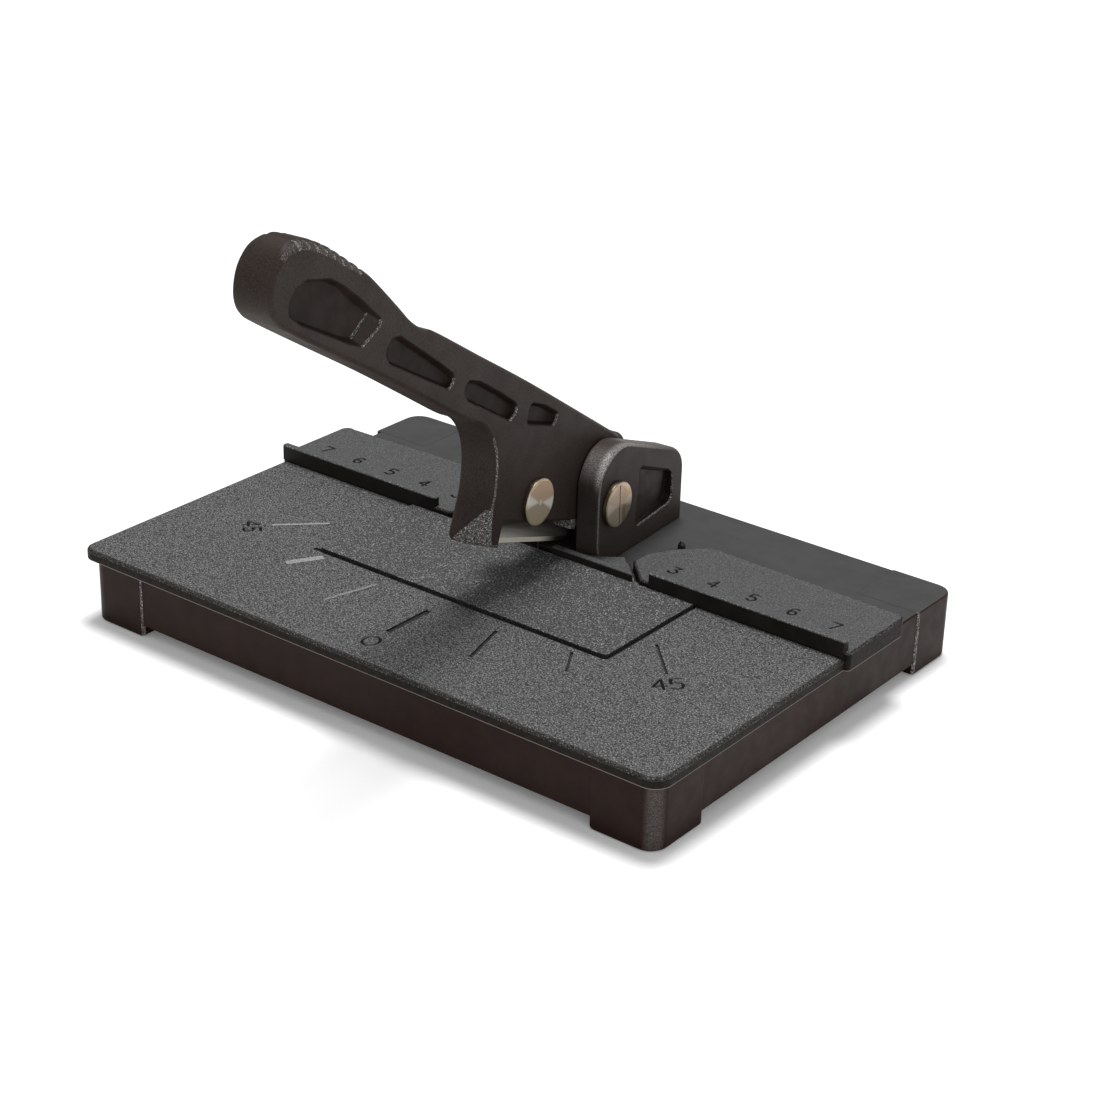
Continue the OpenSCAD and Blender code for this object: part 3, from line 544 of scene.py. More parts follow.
class Skin:
    """A closed skin made from rings of points, in millimetres of its own part."""

    def __init__(self):
        self.bm = bmesh.new()

    def ring(self, points):
        return [self.bm.verts.new(p) for p in points]

    def level(self, outline, height):
        return self.ring([(x, y, height) for x, y in outline])

    def upright(self, outline, x):
        """A ring in a side view, drawn as Y and Z, at the place x."""
        return self.ring([(x, y, z) for y, z in outline])

    def band(self, a, b, finish=0):
        for i in range(len(a)):
            j = (i + 1) % len(a)
            face = self.bm.faces.new((a[i], a[j], b[j], b[i]))
            face.material_index = finish[i] if isinstance(finish, list) else finish

    def stack(self, rings, finishes=0):
        for i in range(len(rings) - 1):
            self.band(rings[i], rings[i + 1],
                      finishes[i] if isinstance(finishes, (list, tuple)) else finishes)

    def fill(self, ring, axis, finish=0, holes=(), cuts=()):
        """Closes a flat ring. Holes, given as rings, stay open; a cut is a list of
        outlines with its depth and the finish of its floor and of its walls."""
        keep = [i for i in range(3) if i != axis]
        level = ring[0].co[axis]
        points, faces, known = [], [], []
        for loop in [ring, *holes]:
            flat = [(v.co[keep[0]], v.co[keep[1]]) for v in loop]
            order = list(range(len(points), len(points) + len(loop)))
            faces.append(order if area(flat) > 0 else order[::-1])
            points += flat
            known += loop
        styles = []
        for outlines, depth, floor, wall in cuts:
            for outline in outlines:
                faces.append(list(range(len(points), len(points) + len(outline))))
                points += leftwards(outline)
                styles.append((depth, floor, wall))
        only_inside, closeness = 1, 1e-5
        spots, _, tiles, from_points, _, from_faces = delaunay_2d_cdt(
            [Vector(p) for p in points], [], faces, only_inside, closeness)
        first = 1 + len(holes)
        kinds = []
        for ids in from_faces:
            cut = [i for i in ids if i >= first]
            if 0 not in ids or any(0 < i < first for i in ids):
                kinds.append(None)
            else:
                kinds.append(styles[min(cut) - first] if cut else (0, finish, finish))
        made = {}

        def corner(k, depth):
            if (k, depth) not in made:
                old = [i for i in from_points[k] if i < len(known)]
                if depth == 0 and old:
                    made[k, depth] = known[old[0]]
                else:
                    place = [0.0, 0.0, 0.0]
                    place[keep[0]], place[keep[1]] = spots[k]
                    place[axis] = level - depth
                    made[k, depth] = self.bm.verts.new(place)
            return made[k, depth]

        beside = {}
        for tile, kind in zip(tiles, kinds):
            if kind is None:
                continue
            depth, floor, _ = kind
            for i in range(len(tile)):
                beside[tile[i], tile[(i + 1) % len(tile)]] = kind
            corners = [corner(k, depth) for k in tile]
            if len(set(corners)) > 2:
                self.bm.faces.new(corners).material_index = floor
        # Walls stand where a tile lies deeper than the one beside it.
        for (a, b), (depth, _, wall) in beside.items():
            other = beside.get((b, a))
            if other is not None and depth > other[0]:
                loop = list(dict.fromkeys([corner(a, other[0]), corner(b, other[0]),
                                           corner(b, depth), corner(a, depth)]))
                if len(loop) > 2:
                    self.bm.faces.new(loop).material_index = wall

    def done(self, name, body, finishes, stands_for=(), place=None, crease=32):
        """Ends the piece: puts it in its place, by default that of its body, and keeps
        edges sharp that turn by more than the crease."""
        place = PLACES[body] if place is None else place
        bmesh.ops.recalc_face_normals(self.bm, faces=self.bm.faces)
        for v in self.bm.verts:
            v.co = place @ (v.co * MM)
        for face in self.bm.faces:
            face.smooth = True
        for edge in self.bm.edges:
            if len(edge.link_faces) == 2:
                edge.smooth = edge.calc_face_angle(0) < radians(crease)
        mesh = bpy.data.meshes.new(name)
        self.bm.to_mesh(mesh)
        self.bm.free()
        for finish in finishes:
            mesh.materials.append(finish.mat)
        obj = shown(name, mesh)
        even = obj.modifiers.new("even", "WEIGHTED_NORMAL")
        even.keep_sharp = True
        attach(obj, body)
        if stands_for:
            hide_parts(*stands_for)


def slab(skin, outline, low, high, edge, foot, finishes=(0, 0, 0), cuts=()):
    """A flat block with its upper edge rounded by edge and its lower one by foot;
    finishes of side, edge and top."""
    side, rim, top = finishes
    quarters = 4
    outline = leftwards(outline)
    rings = []
    for turn in (0, 45, 90) if foot else (90,):
        a = radians(turn)
        rings.append(skin.level(shrunk(outline, foot * (1 - sin(a))),
                                low + foot * (1 - cos(a))))
    tones = [side] * len(rings) + [rim] * quarters
    for i in range(quarters + 1):
        a = radians(90 * i / quarters)
        rings.append(skin.level(shrunk(outline, edge * (1 - cos(a))),
                                high - edge + edge * sin(a)))
    skin.stack(rings, tones)
    skin.fill(rings[0], 2, side)
    skin.fill(rings[-1], 2, top, cuts=cuts)


def lathe(skin, profile, finishes=0, spokes=72):
    """A round piece about its X axis from a line of (x, radius)."""
    turns = [2 * pi * i / spokes for i in range(spokes)]
    rings = [skin.ring([(x, radius * sin(a), radius * cos(a)) for a in turns])
             for x, radius in profile]
    skin.stack(rings, finishes)
    return rings


# Numerals and marks

NUMERALS = {
    "0": [[(0.3 + 0.3 * sin(a * pi / 8), 0.5 - 0.5 * cos(a * pi / 8))
           for a in range(17)]],
    "3": [[(0.02, 1), (0.58, 1), (0.28, 0.6), (0.5, 0.52), (0.6, 0.32), (0.52, 0.1),
           (0.3, 0), (0.08, 0.06), (0, 0.2)]],
    "4": [[(0.45, 0), (0.45, 1), (0, 0.3), (0.62, 0.3)]],
    "5": [[(0.56, 1), (0.1, 1), (0.04, 0.54), (0.3, 0.62), (0.52, 0.52), (0.6, 0.3),
           (0.5, 0.08), (0.28, 0), (0.03, 0.1)]],
    "6": [[(0.52, 0.92), (0.34, 1), (0.12, 0.84), (0.02, 0.48), (0.06, 0.18), (0.22, 0.02),
           (0.4, 0.02), (0.57, 0.18), (0.56, 0.42), (0.4, 0.56), (0.2, 0.54), (0.05, 0.36)]],
    "7": [[(0, 1), (0.6, 1), (0.24, 0)]],
}


def line(a, b, wide):
    """A straight stroke with round ends."""
    a, b = Vector(a), Vector(b)
    angle = degrees(atan2(b.y - a.y, b.x - a.x))
    return (arc(b, wide / 2, angle - 90, angle + 90, 4)
            + arc(a, wide / 2, angle + 90, angle + 270, 4))


def bar(a, b, wide):
    """A straight stroke with square ends."""
    a, b = Vector(a), Vector(b)
    side = Vector((a.y - b.y, b.x - a.x)).normalized() * wide / 2
    return [tuple(a - side), tuple(b - side), tuple(b + side), tuple(a + side)]


def writing(text, middle, high, wide, stroke, turn=0):
    """Strokes that write a number about its middle, turned by so many degrees."""
    out = []
    sine, cosine = sin(radians(turn)), cos(radians(turn))
    drawn_wide, apart = 0.6, 0.35       # of the numerals above, and the gap between two
    pitch = wide * (1 + apart)
    start = -pitch * (len(text) - 1) / 2 - wide / 2
    for i, sign in enumerate(text):
        for path in NUMERALS[sign]:
            spots = [(start + i * pitch + x / drawn_wide * wide, (y - 0.5) * high)
                     for x, y in path]
            spots = [(middle[0] + x * cosine - y * sine, middle[1] + x * sine + y * cosine)
                     for x, y in spots]
            out += [line(a, b, stroke) for a, b in zip(spots, spots[1:])]
    return out


# Tray

TRAY_CORNER = 3.7


def make_tray():
    """The body of the base, open below."""
    skin = Skin()
    outside = leftwards(rounded(box(WALL_LEFT, 0, WALL_RIGHT, DEPTH), TRAY_CORNER, 10))
    # From the roof of the hollow down the walls, round their lower edge and up outside.
    rings = [skin.level(shrunk(outside, inset), height) for inset, height in (
        (2.4, 11.8), (2.4, 2.9), (2.1, 2.5), (0.4, 2.5), (0.12, 2.62), (0, 2.9), (0, LEDGE))]
    skin.stack(rings)
    skin.fill(rings[0], 2)
    skin.fill(rings[-1], 2)
    skin.done("tray", "base", [WALL], ["base_tray"])


def make_rear_deck():
    """The lower deck behind the fences, round the yoke's well."""
    skin = Skin()
    front, notch = FENCE_BACK + PLAY, 29.0
    first = bearing(22.37, 78.47)
    well = arc(AXIS, WELL - PLAY, first, -180 - first, 40)
    back = rounded(box(WALL_LEFT, front, WALL_RIGHT, DEPTH),
                   [0, 0, TRAY_CORNER, TRAY_CORNER], 10)
    outline = [(notch, front)] + back[1:] + [back[0], (-notch, front)] + well[::-1]
    slab(skin, outline, LEDGE, REAR_TOP, 0.35, 0.0, (0, 0, 1))
    skin.done("rear_deck", "base", [WALL, REAR])


def make_foot(s, back):
    """Corner foot: a pad slightly proud of the walls that ends in a slant below, with a
    painted highlight line along its side edges."""
    skin = Skin()
    long, radius, small = 15.5, 4.0, 0.75       # side, outer corner, side edges
    slant, slant_high = 0.5, 0.9
    proud = 1.25 if back and s < 0 else 0.3
    top = REAR_TOP + 0.03 if back else LEDGE
    x_out = WALL_LEFT - proud if s < 0 else WALL_RIGHT + proud
    y_out = DEPTH + 0.3 if back else -proud
    y_in = y_out - long if back else y_out + long

    def plan(height, inset):
        run = slant * max(0, 1 - height / slant_high) ** 2
        x_in = x_out - s * (long - run)
        loop = [(x_out, y_out), (x_in, y_out), (x_in, y_in), (x_out, y_in)]
        return shrunk(leftwards(rounded(loop, [radius, small, 0, small], 6)), inset)

    rings, edge = [], 0.5
    for i in range(5):
        a = radians(22.5 * i)
        height = edge * (1 - cos(a))
        rings.append(skin.level(plan(height, edge * (1 - sin(a))), height))
    for height, inset, drop in ((0.7, 0, 0), (0.9, 0, 0), (2.5, 0, 0), (top - 0.3, 0, 0),
                                (top, 0.1, 0.08), (top, 0.3, 0)):
        rings.append(skin.level(plan(height, inset), height - drop))
    corners = [Vector(spot) for spot in ((x_out - s * long, y_out), (x_out, y_in))]
    plain, rear, pale = range(3)
    lit_line, line_wide = back or s < 0, 0.62       # the front right foot gets no painted highlight line
    tones = [pale if lit_line and min((Vector(p) - c).length for c in corners) < line_wide
             else plain for p in plan(top, 0)]
    skin.stack(rings, [tones] * (len(rings) - 1))
    skin.fill(rings[0], 2)
    skin.fill(rings[-1], 2, rear if back else plain)
    skin.done("foot_%s_%s" % (SIDES[s], "rear" if back else "front"), "base",
               [WALL, REAR, EDGE])


def make_ribs():
    """Ribs and the swivel bolt's boss below the deck."""
    skin = Skin()
    low, high, clear = 6.8, 12.2, 1.2           # they end this far inside the walls
    for x in (-31.6, 32.6):
        slab(skin, box(x - 0.8, clear, x + 0.8, DEPTH - clear), low, high, 0.1, 0.3)
    slab(skin, box(WALL_LEFT + clear, 56.3, WALL_RIGHT - clear, 57.9),
         low + 0.05, high - 0.05, 0.1, 0.3)
    boss_low, boss, hole = 8.8, arc(AXIS, 9, 0, 354, 59), arc(AXIS, 2.55, 0, 350, 35)
    shell, bore = ([skin.level(leftwards(loop), height) for height in (boss_low, high)]
                   for loop in (boss, hole))
    skin.stack(shell)
    skin.stack(bore)
    for outer, inner in zip(shell, bore):
        skin.fill(outer, 2, 0, [inner])
    skin.done("under_ribs", "base", [WALL])


# Deck and plate

def make_deck():
    """The speckled deck with its angle marks, their numbers and the plate's channel."""
    skin = Skin()
    side, edge, top, light, groove, faint, dark = range(7)
    rear, highlight_rise, depth = 64.0, -0.06, 0.4       # the light and faint marks, painted highlights, stand raised; the dark marks and the channel are cut
    far, stroke, carved = 75.7, 0.7, 0.3        # outer end of the marks, and the numbers
    over, left_over, gap = 1.4, 1.9, 24.14      # how far the deck juts out over the walls
    front = rounded(box(WALL_LEFT - left_over, -over, WALL_RIGHT + over, rear),
                    [3, 4, 0, 0], 8)
    reach = degrees(atan2(16.56, 17.5))
    well = arc(AXIS, WELL + PLAY, -reach, -180 + reach, 30)
    outline = (front[:-2] + [(front[-2][0], rear), (gap, rear)] + well
               + [(-gap, rear), (front[-1][0], rear)])

    cuts = []
    # The light and faint marks are painted highlights, the dark grooves painted shade.
    # Each mark's angle, width, distance from the axis, and finish.
    for angle, wide, near, style in ((-45, 0.8, 63, light), (-30, 1.8, 67.4, light),
                                     (-15, 0.8, 63, faint), (0, 1.4, 63, groove),
                                     (15, 0.8, 63, groove), (30, 0.6, 67.4, groove),
                                     (45, 0.6, 63, groove)):
        a = radians(angle)
        ends = [(r * sin(a), AXIS_BACK - r * cos(a)) for r in (near, far)]
        cuts.append(([bar(*ends, wide)], depth if style == groove else highlight_rise, style, style))
    # Carved numbers: painted shade on their floors, painted highlight on their walls.
    for text, spot, high, wide, turn in (("45", (-56.5, 30.3), 3.8, 2.2, -45),
                                         ("0", (0.0, 6.5), 4.2, 3.4, 0),
                                         ("45", (56.0, 30.5), 4.2, 2.6, 45)):
        cuts.append((writing(text, spot, high, wide, stroke, turn), carved, dark, light))
    # The channel in front of the cutting plate and to its right, in painted shade.
    x0, x1, x2, y0, y1 = -38.3, 40.0, 41.1, 30.4, 31.6
    channel = rounded([(x0, y0), (x2, y0), (x2, FACE + 1), (x1, FACE + 1), (x1, y1), (x0, y1)],
                      [0.3, 1.6, 0, 0, 0.8, 0], 5)
    cuts.append(([channel], depth, groove, groove))
    slab(skin, outline, LEDGE, DECK_TOP, 0.7, 0.25, (side, edge, top), cuts)
    skin.done("deck", "base",
              [DECK_SIDE, DECK_EDGE_SHADE, DECK, MARK_HIGHLIGHT, CHANNEL_SHADE, MARK_DIM_HIGHLIGHT, NUMERAL_SHADE],
              ["front_deck"])


def make_plate():
    skin = Skin()
    plan = rounded(box(-36.8, 31.3, 40.3, FACE - PLAY), [0.4, 1.0, 0, 0], 4)
    # the plate's sides take the channel's painted shade
    slab(skin, plan, 16.0, PLATE_TOP, 0.12, 0.0, (0, 1, 1))
    skin.done("cutting_plate_piece", "base", [CHANNEL_SHADE, PLATE], ["cutting_plate"])


# Fences

def flip(points, s):
    """The outline drawn for the right side, for the side s."""
    return [(s * x, y) for x, y in points]


def make_fence(s):
    """Ruled fence of one side with its lip, and the low fence between it and the blade."""
    word = SIDES[s]
    outer = 77.65 + s * 0.5
    start, end = bearing(19.8, 73.56), bearing(22.417, 78.517)
    plan = rounded([(26.49, FACE), (outer, FACE), (outer, FENCE_BACK)], [0, 1.0, 2.0], 6)
    plan += [(29.0, FENCE_BACK)] + arc(AXIS, WELL, end, start, 10) + [(19.8, 68.39)]
    side, edge, top, dark, faint = range(5)
    high, wide, stroke, carved = 3.1, 2.0, 0.6, 0.25
    # Numbers carved into the fence, with painted shade on their floors and a faint painted
    # highlight on their walls.
    cuts = [(writing(str(n), (s * n * 10 - 0.7, 70.2), high, wide, stroke), carved, dark, faint)
            for n in (3, 4, 5, 6, 7)]
    skin = Skin()
    slab(skin, flip(plan, s), LEDGE, PLATFORM, 0.5, 0.25, (side, edge, top), cuts)
    skin.done(word + "_fence_block", "base",
              [DECK_SIDE, DECK_EDGE_SHADE, FENCE, NUMERAL_SHADE, MARK_DIM_HIGHLIGHT], [word + "_fence"])

    skin = Skin()
    begin, short = (28.4, 1.2) if s > 0 else (30.3, 0.05)
    lip = rounded(box(begin, FACE - 0.02, outer - short, FACE + 1.7), 0.5, 4)
    slab(skin, flip(lip, s), 17.0, LIP_TOP, 0.35, 0.0, (0, 1, 2))
    skin.done(word + "_fence_lip", "base", [LIP_FACE, LIP_EDGE_HIGHLIGHT, FENCE])

    skin = Skin()
    begin = 2.9
    start, end = bearing(16.5, 69.71), bearing(begin, 63.336)
    low = [(begin, FACE), (24.5, FACE)] + arc(AXIS, WELL, start, end, 12)
    slab(skin, flip(low, s), DECK_TOP - 0.3, 17.9, 0.2, 0.0, (0, 1, 1))
    lip = [(begin, FACE - 0.01), (24.45, FACE - 0.01), (22.9, FACE + 1.6), (begin, FACE + 1.6)]
    slab(skin, flip(lip, s), 17.0, 19.0, 0.3, 0.0, (0, 1, 1))
    skin.done(word + "_low_fence_block", "base", [LIP_FACE, FENCE], [word + "_low_fence"])


def make_pins():
    """Two round pins behind the fences that stop the yoke at 45 degrees."""
    for number, s in ((1, -1), (2, 1)):
        skin = Skin()
        lathe(skin, [(-1.0, 0.0), (-1.0, 0.9), (0.7, 0.9), (1.3, 0.86), (1.9, 0.74), (2.3, 0.5),
                     (2.55, 0.3), (2.7, 0.12), (2.75, 0.0)], spokes=32)
        bmesh.ops.remove_doubles(skin.bm, verts=skin.bm.verts, dist=1e-4)
        place = (TRAY @ moved(s * 20.5, AXIS_BACK - 1.7, REAR_TOP)
                 @ Matrix.Rotation(radians(-90), 4, "Y"))
        skin.done("stop_pin_%d" % number, "base", [PIN], ["stop_pins"] if number == 1 else (),
                  place, 60)


# Yoke

def make_ear(s):
    """One ear: its upper front corner is rounded broadly, its other edges narrowly. The
    top falls from its front to its rear, and a pocket of uneven depth lightens its face."""
    skin = Skin()
    low, top, fall = 15.0, 45.1, 31.3
    sweep, well_top = 23.9, 19.2        # below this the ear turns inside the well
    outline = leftwards(rounded([(-22.4, low), (-22.4, top), (13.0, fall), (13.0, low)],
                                [0, 9.0, 6.5, 0], 16))
    outline = split(outline, lambda a, b: 1.5 if max(a.y, b.y) > 20 else 0)
    inner, outer = EAR_GAP / 2, YOKE_HALF - 0.3

    # How far each edge is rounded across the ear, and how far in from its outline.
    round_by, round_in = [], []
    for y, z in outline:
        corner = ease(z, 29.0, 37.0) * ease(y, -9.0, -16.0)
        upper = ease(z, 28.0, 31.0) if y > -20 else 0.0
        rear = 1.0 if y > 12 else 0.0
        other = max(upper * (1 - corner), rear)
        round_by.append(0.9 + 1.5 * corner + 0.5 * other)
        round_in.append(0.6 + 0.3 * corner + 0.2 * other)

    def cut(a, narrow=None):
        """Ring at the angle a round the outer edge, or round the narrow inner one."""
        ring = []
        for p, q, by, into in zip(outline, shrunk(outline, 1.0), round_by, round_in):
            if narrow:
                by = into = narrow
            inset = into * (1 - cos(a))
            y, z = (p[0] + (q[0] - p[0]) * inset, p[1] + (q[1] - p[1]) * inset)
            x = inner + by - by * sin(a) if narrow else outer - by + by * sin(a)
            over = hypot(x, y) / sweep if z < well_top else 0
            if over > 1:
                x, y = x / over, y / over
            ring.append((s * x, y, low if p[1] == low else z))
        return skin.ring(ring)

    rings = [cut(radians(90 - 30 * i), 0.4) for i in range(4)]
    rings += [cut(radians(10 * i)) for i in range(10)]
    skin.stack(rings)
    skin.fill(rings[0], 0)
    pocket = [(-5.9, 33.4), (6.0, 28.6), (7.8, 27.2), (8.2, 25.6), (8.2, 21.8), (7.2, 20.3),
              (-7.0, 19.4)]
    rim = leftwards(rounded(pocket, [0.8, 1.2, 1.2, 1.2, 1.2, 1.2, 0.8], 4))
    holes = hollow(skin, rim, s * outer, -s, lambda y, z: 1.9 * ease(y, -7.0, 5.0)
                   * (1 - 0.75 * ease(z, 25.5, 30.0)), 0.3)
    skin.fill(rings[-1], 0, 0, holes)
    skin.done("ear_" + SIDES[s], "head",
              [YOKE, EDGE, POCKET_SHADE], ["yoke"] if s > 0 else ())


def hollow(skin, rim, x, inward, depth, soft, floor=None):
    """Pocket, finish 2, in painted shade, with softened rim and a fillet at its floor; returns its
    rim as a hole. The depth goes by the place. Parts of the wall that catch the light get a
    painted highlight,
    finish 1: only at the rim, or all the way down where the floor is slanted."""
    plain, fillet, away = 2, 0.4, 0.25
    rings = []
    for i in range(4):
        a = radians(30 * i)
        rings.append(skin.upright(shrunk(rim, -soft * (1 - sin(a))),
                                  x + inward * soft * (1 - cos(a))))
    for i in range(4):
        a = radians(30 * i)
        least = soft + 0.02 * (i + 1)
        rings.append(skin.ring([
            (x + inward * max(least, depth(*p) - fillet + fillet * sin(a)), *p)
            for p in shrunk(floor or rim, away + fillet * (1 - cos(a)))]))
    lit = (1, 1, 1, 0, 1, 1, 1) if floor else (1, 1, 1, plain, plain, plain, plain)
    caught = [catches_light(i, rim) for i in range(len(rim))]
    skin.stack(rings, [[shade if seen else plain for seen in caught] for shade in lit])
    skin.fill(rings[-1], 0, plain)
    return [rings[0]]


def catches_light(i, rim):
    """Whether a part of the rim looks back and down."""
    run = Vector(rim[(i + 1) % len(rim)]) - Vector(rim[i - 1])
    back_and_down = Vector((0.86, -0.51))
    return Vector((run.y, -run.x)).normalized().dot(back_and_down) > 0.53


def make_yoke_floor():
    """Plate between the ears, with a web across their rear."""
    skin = Skin()
    side = YOKE_HALF - 0.5
    plate = rounded(box(-side, -21.9, side, 12.9), 3.0, 6)
    slab(skin, plate, 15.05, 16.4, 0.1, 0.1)
    web = rounded(box(-7.5, 7.8, 7.5, 12.9), 1.0, 3)
    slab(skin, web, 15.6, 25.0, 0.8, 0.0)
    skin.done("yoke_floor", "head", [YOKE])


def make_screw(name, body, place, finish, radius, back, shank, tip, slot=False):
    """Screw with a broad flat disc for a head, turned about the X axis of its place; tip
    is the length and radius of its blunted end."""
    skin = Skin()
    face, rim = range(2)
    # the disc's cylindrical side, band rim, takes the painted shade
    rings = lathe(skin, [(-back, tip[1]), (tip[0] - back, shank), (0.02, shank), (0.02, radius),
                         (0.85, radius), (1.0, radius - 0.08), (1.1, radius - 0.25)],
                  [face, face, face, rim, face, face])
    skin.fill(rings[0], 0)
    slots = [([bar((0, 0.5 - radius), (0, radius - 0.5), 0.5)], 0.2, face, face)] if slot else ()
    skin.fill(rings[-1], 0, face, cuts=slots)
    skin.done(name + "_piece", body, [finish, RIM_SHADE], [name], place)


# Lever

GROOVE_FIRST, GROOVES, GROOVE_PITCH = 96.4, 9, 2.75
GROOVE_HALF, GROOVE_DEEP = 0.8, 0.5


def lever_outline():
    """The lever from the side, from its heel over the handle and down to the claw."""
    heel, shoulder, slant = 9.5, 0.296 * CROWN, 2.75
    tail = [(heel, -5.5), (heel, shoulder - slant), (heel - slant, shoulder)]
    tail = rounded(tail, [0, 1.6, 0], 5)[:-1]
    # Shares of the lever's length and of its height.
    top = [(-0.055, 0.296), (0.053, 0.369), (0.273, 0.515), (0.438, 0.614), (0.572, 0.695),
           (0.6, 0.701), (0.622, 0.71), (0.65, 0.735), (0.682, 0.777), (0.728, 0.836),
           (0.774, 0.891), (0.83, 0.944), (0.884, 0.982), (0.933, 0.997), (0.962, 0.983),
           (0.984, 0.94), (0.997, 0.87), (1, 0.8), (0.993, 0.725), (0.974, 0.672),
           (0.937, 0.64), (0.81, 0.564), (0.675, 0.485), (0.53, 0.391), (0.437, 0.33)]
    top = [(-along * REACH, high * CROWN) for along, high in top]
    throat = [(-49.8, 14.75), (-47.2, 13.8), (-44.8, 12.2), (-42.7, 9.9), (-41.1, 7.0),
              (-40.1, 3.8), (-39.5, 0.9), (-39.3, -2.3)]
    claw = [(-39.4, -5.5), (-39.6, -9.2), (-39.3, -10.4), (-38.6, -11.0), (-33.1, -11.0),
            (-33.1, -5.5)]
    return tail + flow(top + throat, 4) + claw


def groove(y, z):
    """Depth of the grip grooves, which run across the crown of the handle."""
    along = (-y - GROOVE_FIRST) / GROOVE_PITCH
    if z < 0.9 * CROWN or not -0.5 < along < GROOVES - 0.5:
        return 0.0
    off = abs(along - round(along)) * GROOVE_PITCH
    return max(0.0, 1 - (off / GROOVE_HALF) ** 2) * GROOVE_DEEP


def grip(y, z):
    """Where the handle's upper edges are rounded more broadly, from 0 to 1."""
    return progress(-y, 96, 104) * progress(-y, REACH, REACH - 4) if z > 0.88 * CROWN else 0.0


def make_lever():
    """The lever with its grip, pockets, throat and claw, whose front is cut to a slant."""
    def fineness(a, b):
        if min(a.y, b.y) > 0.88 * CROWN and a.x < -95:
            return 0.3
        return 0.6 if max(a.x, b.x) < -37.5 and max(a.y, b.y) < 2 else 0

    skin = Skin()
    edge, broad, drop = 0.9, 1.3, 1.0       # rounded edges, and what the grip adds to them
    slant, lean = 6.9, 2.4                  # how far the claw's front is cut back
    outline = leftwards(split(lever_outline(), fineness))
    # Of each point: how far it is cut back, how broadly it is rounded, how deep a groove.
    traits = [(progress(z, -2.6, -10.6) if y < -37.5 and z < -2.6 else 0.0,
               grip(y, z), groove(y, z)) for y, z in outline]

    def cut(s, a, depth):
        """Ring at the angle a round the edge of one side, with so much of the grooves."""
        ring = []
        for (y, z), (claw, held, dip) in zip(shrunk(outline, edge * (1 - cos(a))), traits):
            wide = edge + broad * held + (slant * claw if s > 0 else 0.0)
            if s > 0:
                y += lean * claw * (1 - cos(a))
            ring.append((s * (LEVER_HALF - wide + wide * sin(a)), y,
                         z - drop * held * (1 - cos(a)) - dip * depth))
        return skin.ring(ring)

    rings = [cut(-1, radians(90 - 18 * i), min(1.0, 0.3 * i)) for i in range(6)]
    for share in (0.14, 0.5, 0.86):
        rings.append(skin.ring([
            ((1 - share) * (edge + broad * held - LEVER_HALF)
             + share * (LEVER_HALF - edge - broad * held - slant * claw), y, z - dip)
            for (y, z), (claw, held, dip) in zip(outline, traits)]))
    rings += [cut(1, radians(18 * i), min(1.0, 0.3 * (5 - i))) for i in range(6)]

    # Painted highlights: pale grain on the throat's edge, the claw's slanted front and the grip
    # grooves' floors, and a dimmer one on the handle's broad edges.
    plain, pale, _, soft = range(4)
    tones = []
    for i in range(len(rings) - 1):
        row = []
        for (y, z), (claw, held, dip) in zip(outline, traits):
            throat_edge = -48 < y < -38 and z < 12 and i > 11
            claw_front = claw > 0.04 and i > 8
            groove_floor = dip > 0.38 and not 4 < i < 9
            handle_edge = held > 0.3 and not 2 < i < 11
            row.append(pale if throat_edge or claw_front or groove_floor
                       else soft if handle_edge else plain)
        tones.append(row)
    skin.stack(rings, tones)
    for s, ring in ((-1, rings[0]), (1, rings[-1])):
        holes = []
        for rim, floor in pockets():
            holes += hollow(skin, rim, s * LEVER_HALF, -s, lambda y, z: 1.5, 0.4, floor)
        skin.fill(ring, 0, plain, holes)
    skin.done("lever_body", "arm", [LEVER, EDGE, POCKET_SHADE, SOFT_HIGHLIGHT], ["lever"])


def make_lug():
    """Small block below the lever's root."""
    skin = Skin()
    slab(skin, rounded(box(-4.4, -6.0, 4.4, -3.4), 0.5, 3), -7.3, -5.0, 0.3, 0.3)
    skin.done("lever_lug", "arm", [EDGE])


def pockets():
    """Rim and floor of each pocket in the lever's side; only the big one's floor differs."""
    big = [(118.4, 35.0), (117.2, 37.6), (114.5, 39.2), (108.0, 39.9), (103.6, 38.9),
           (98.5, 37.15), (89.6, 33.4), (94.5, 28.6), (98.8, 29.0), (114.1, 31.6), (117.8, 33.0)]
    slanted = [(99.0, 36.9), (92.6, 34.6), (96.6, 29.3), (99.8, 29.4)]
    rims = [
        (big, big[:5] + slanted + big[9:]),
        ([(86.6, 28.4), (85.6, 30.3), (83.2, 30.9), (68.1, 26.3), (63.2, 24.6), (62.2, 23.2),
          (63.4, 21.7), (84.6, 25.8), (86.3, 27.0)], None),
        ([(57.8, 22.4), (56.8, 23.4), (52.9, 23.3), (44.8, 21.4), (38.4, 19.5), (37.2, 18.1),
          (39.0, 16.0), (55.8, 19.6), (57.6, 20.9)], None),
        ([(32.4, 19.7), (26.7, 19.3), (20.9, 17.9), (21.6, 15.4), (32.4, 15.4)], None)]
    return [[loop and leftwards(rounded([(-back, high) for back, high in loop], 1.0, 4))
             for loop in pair] for pair in rims]


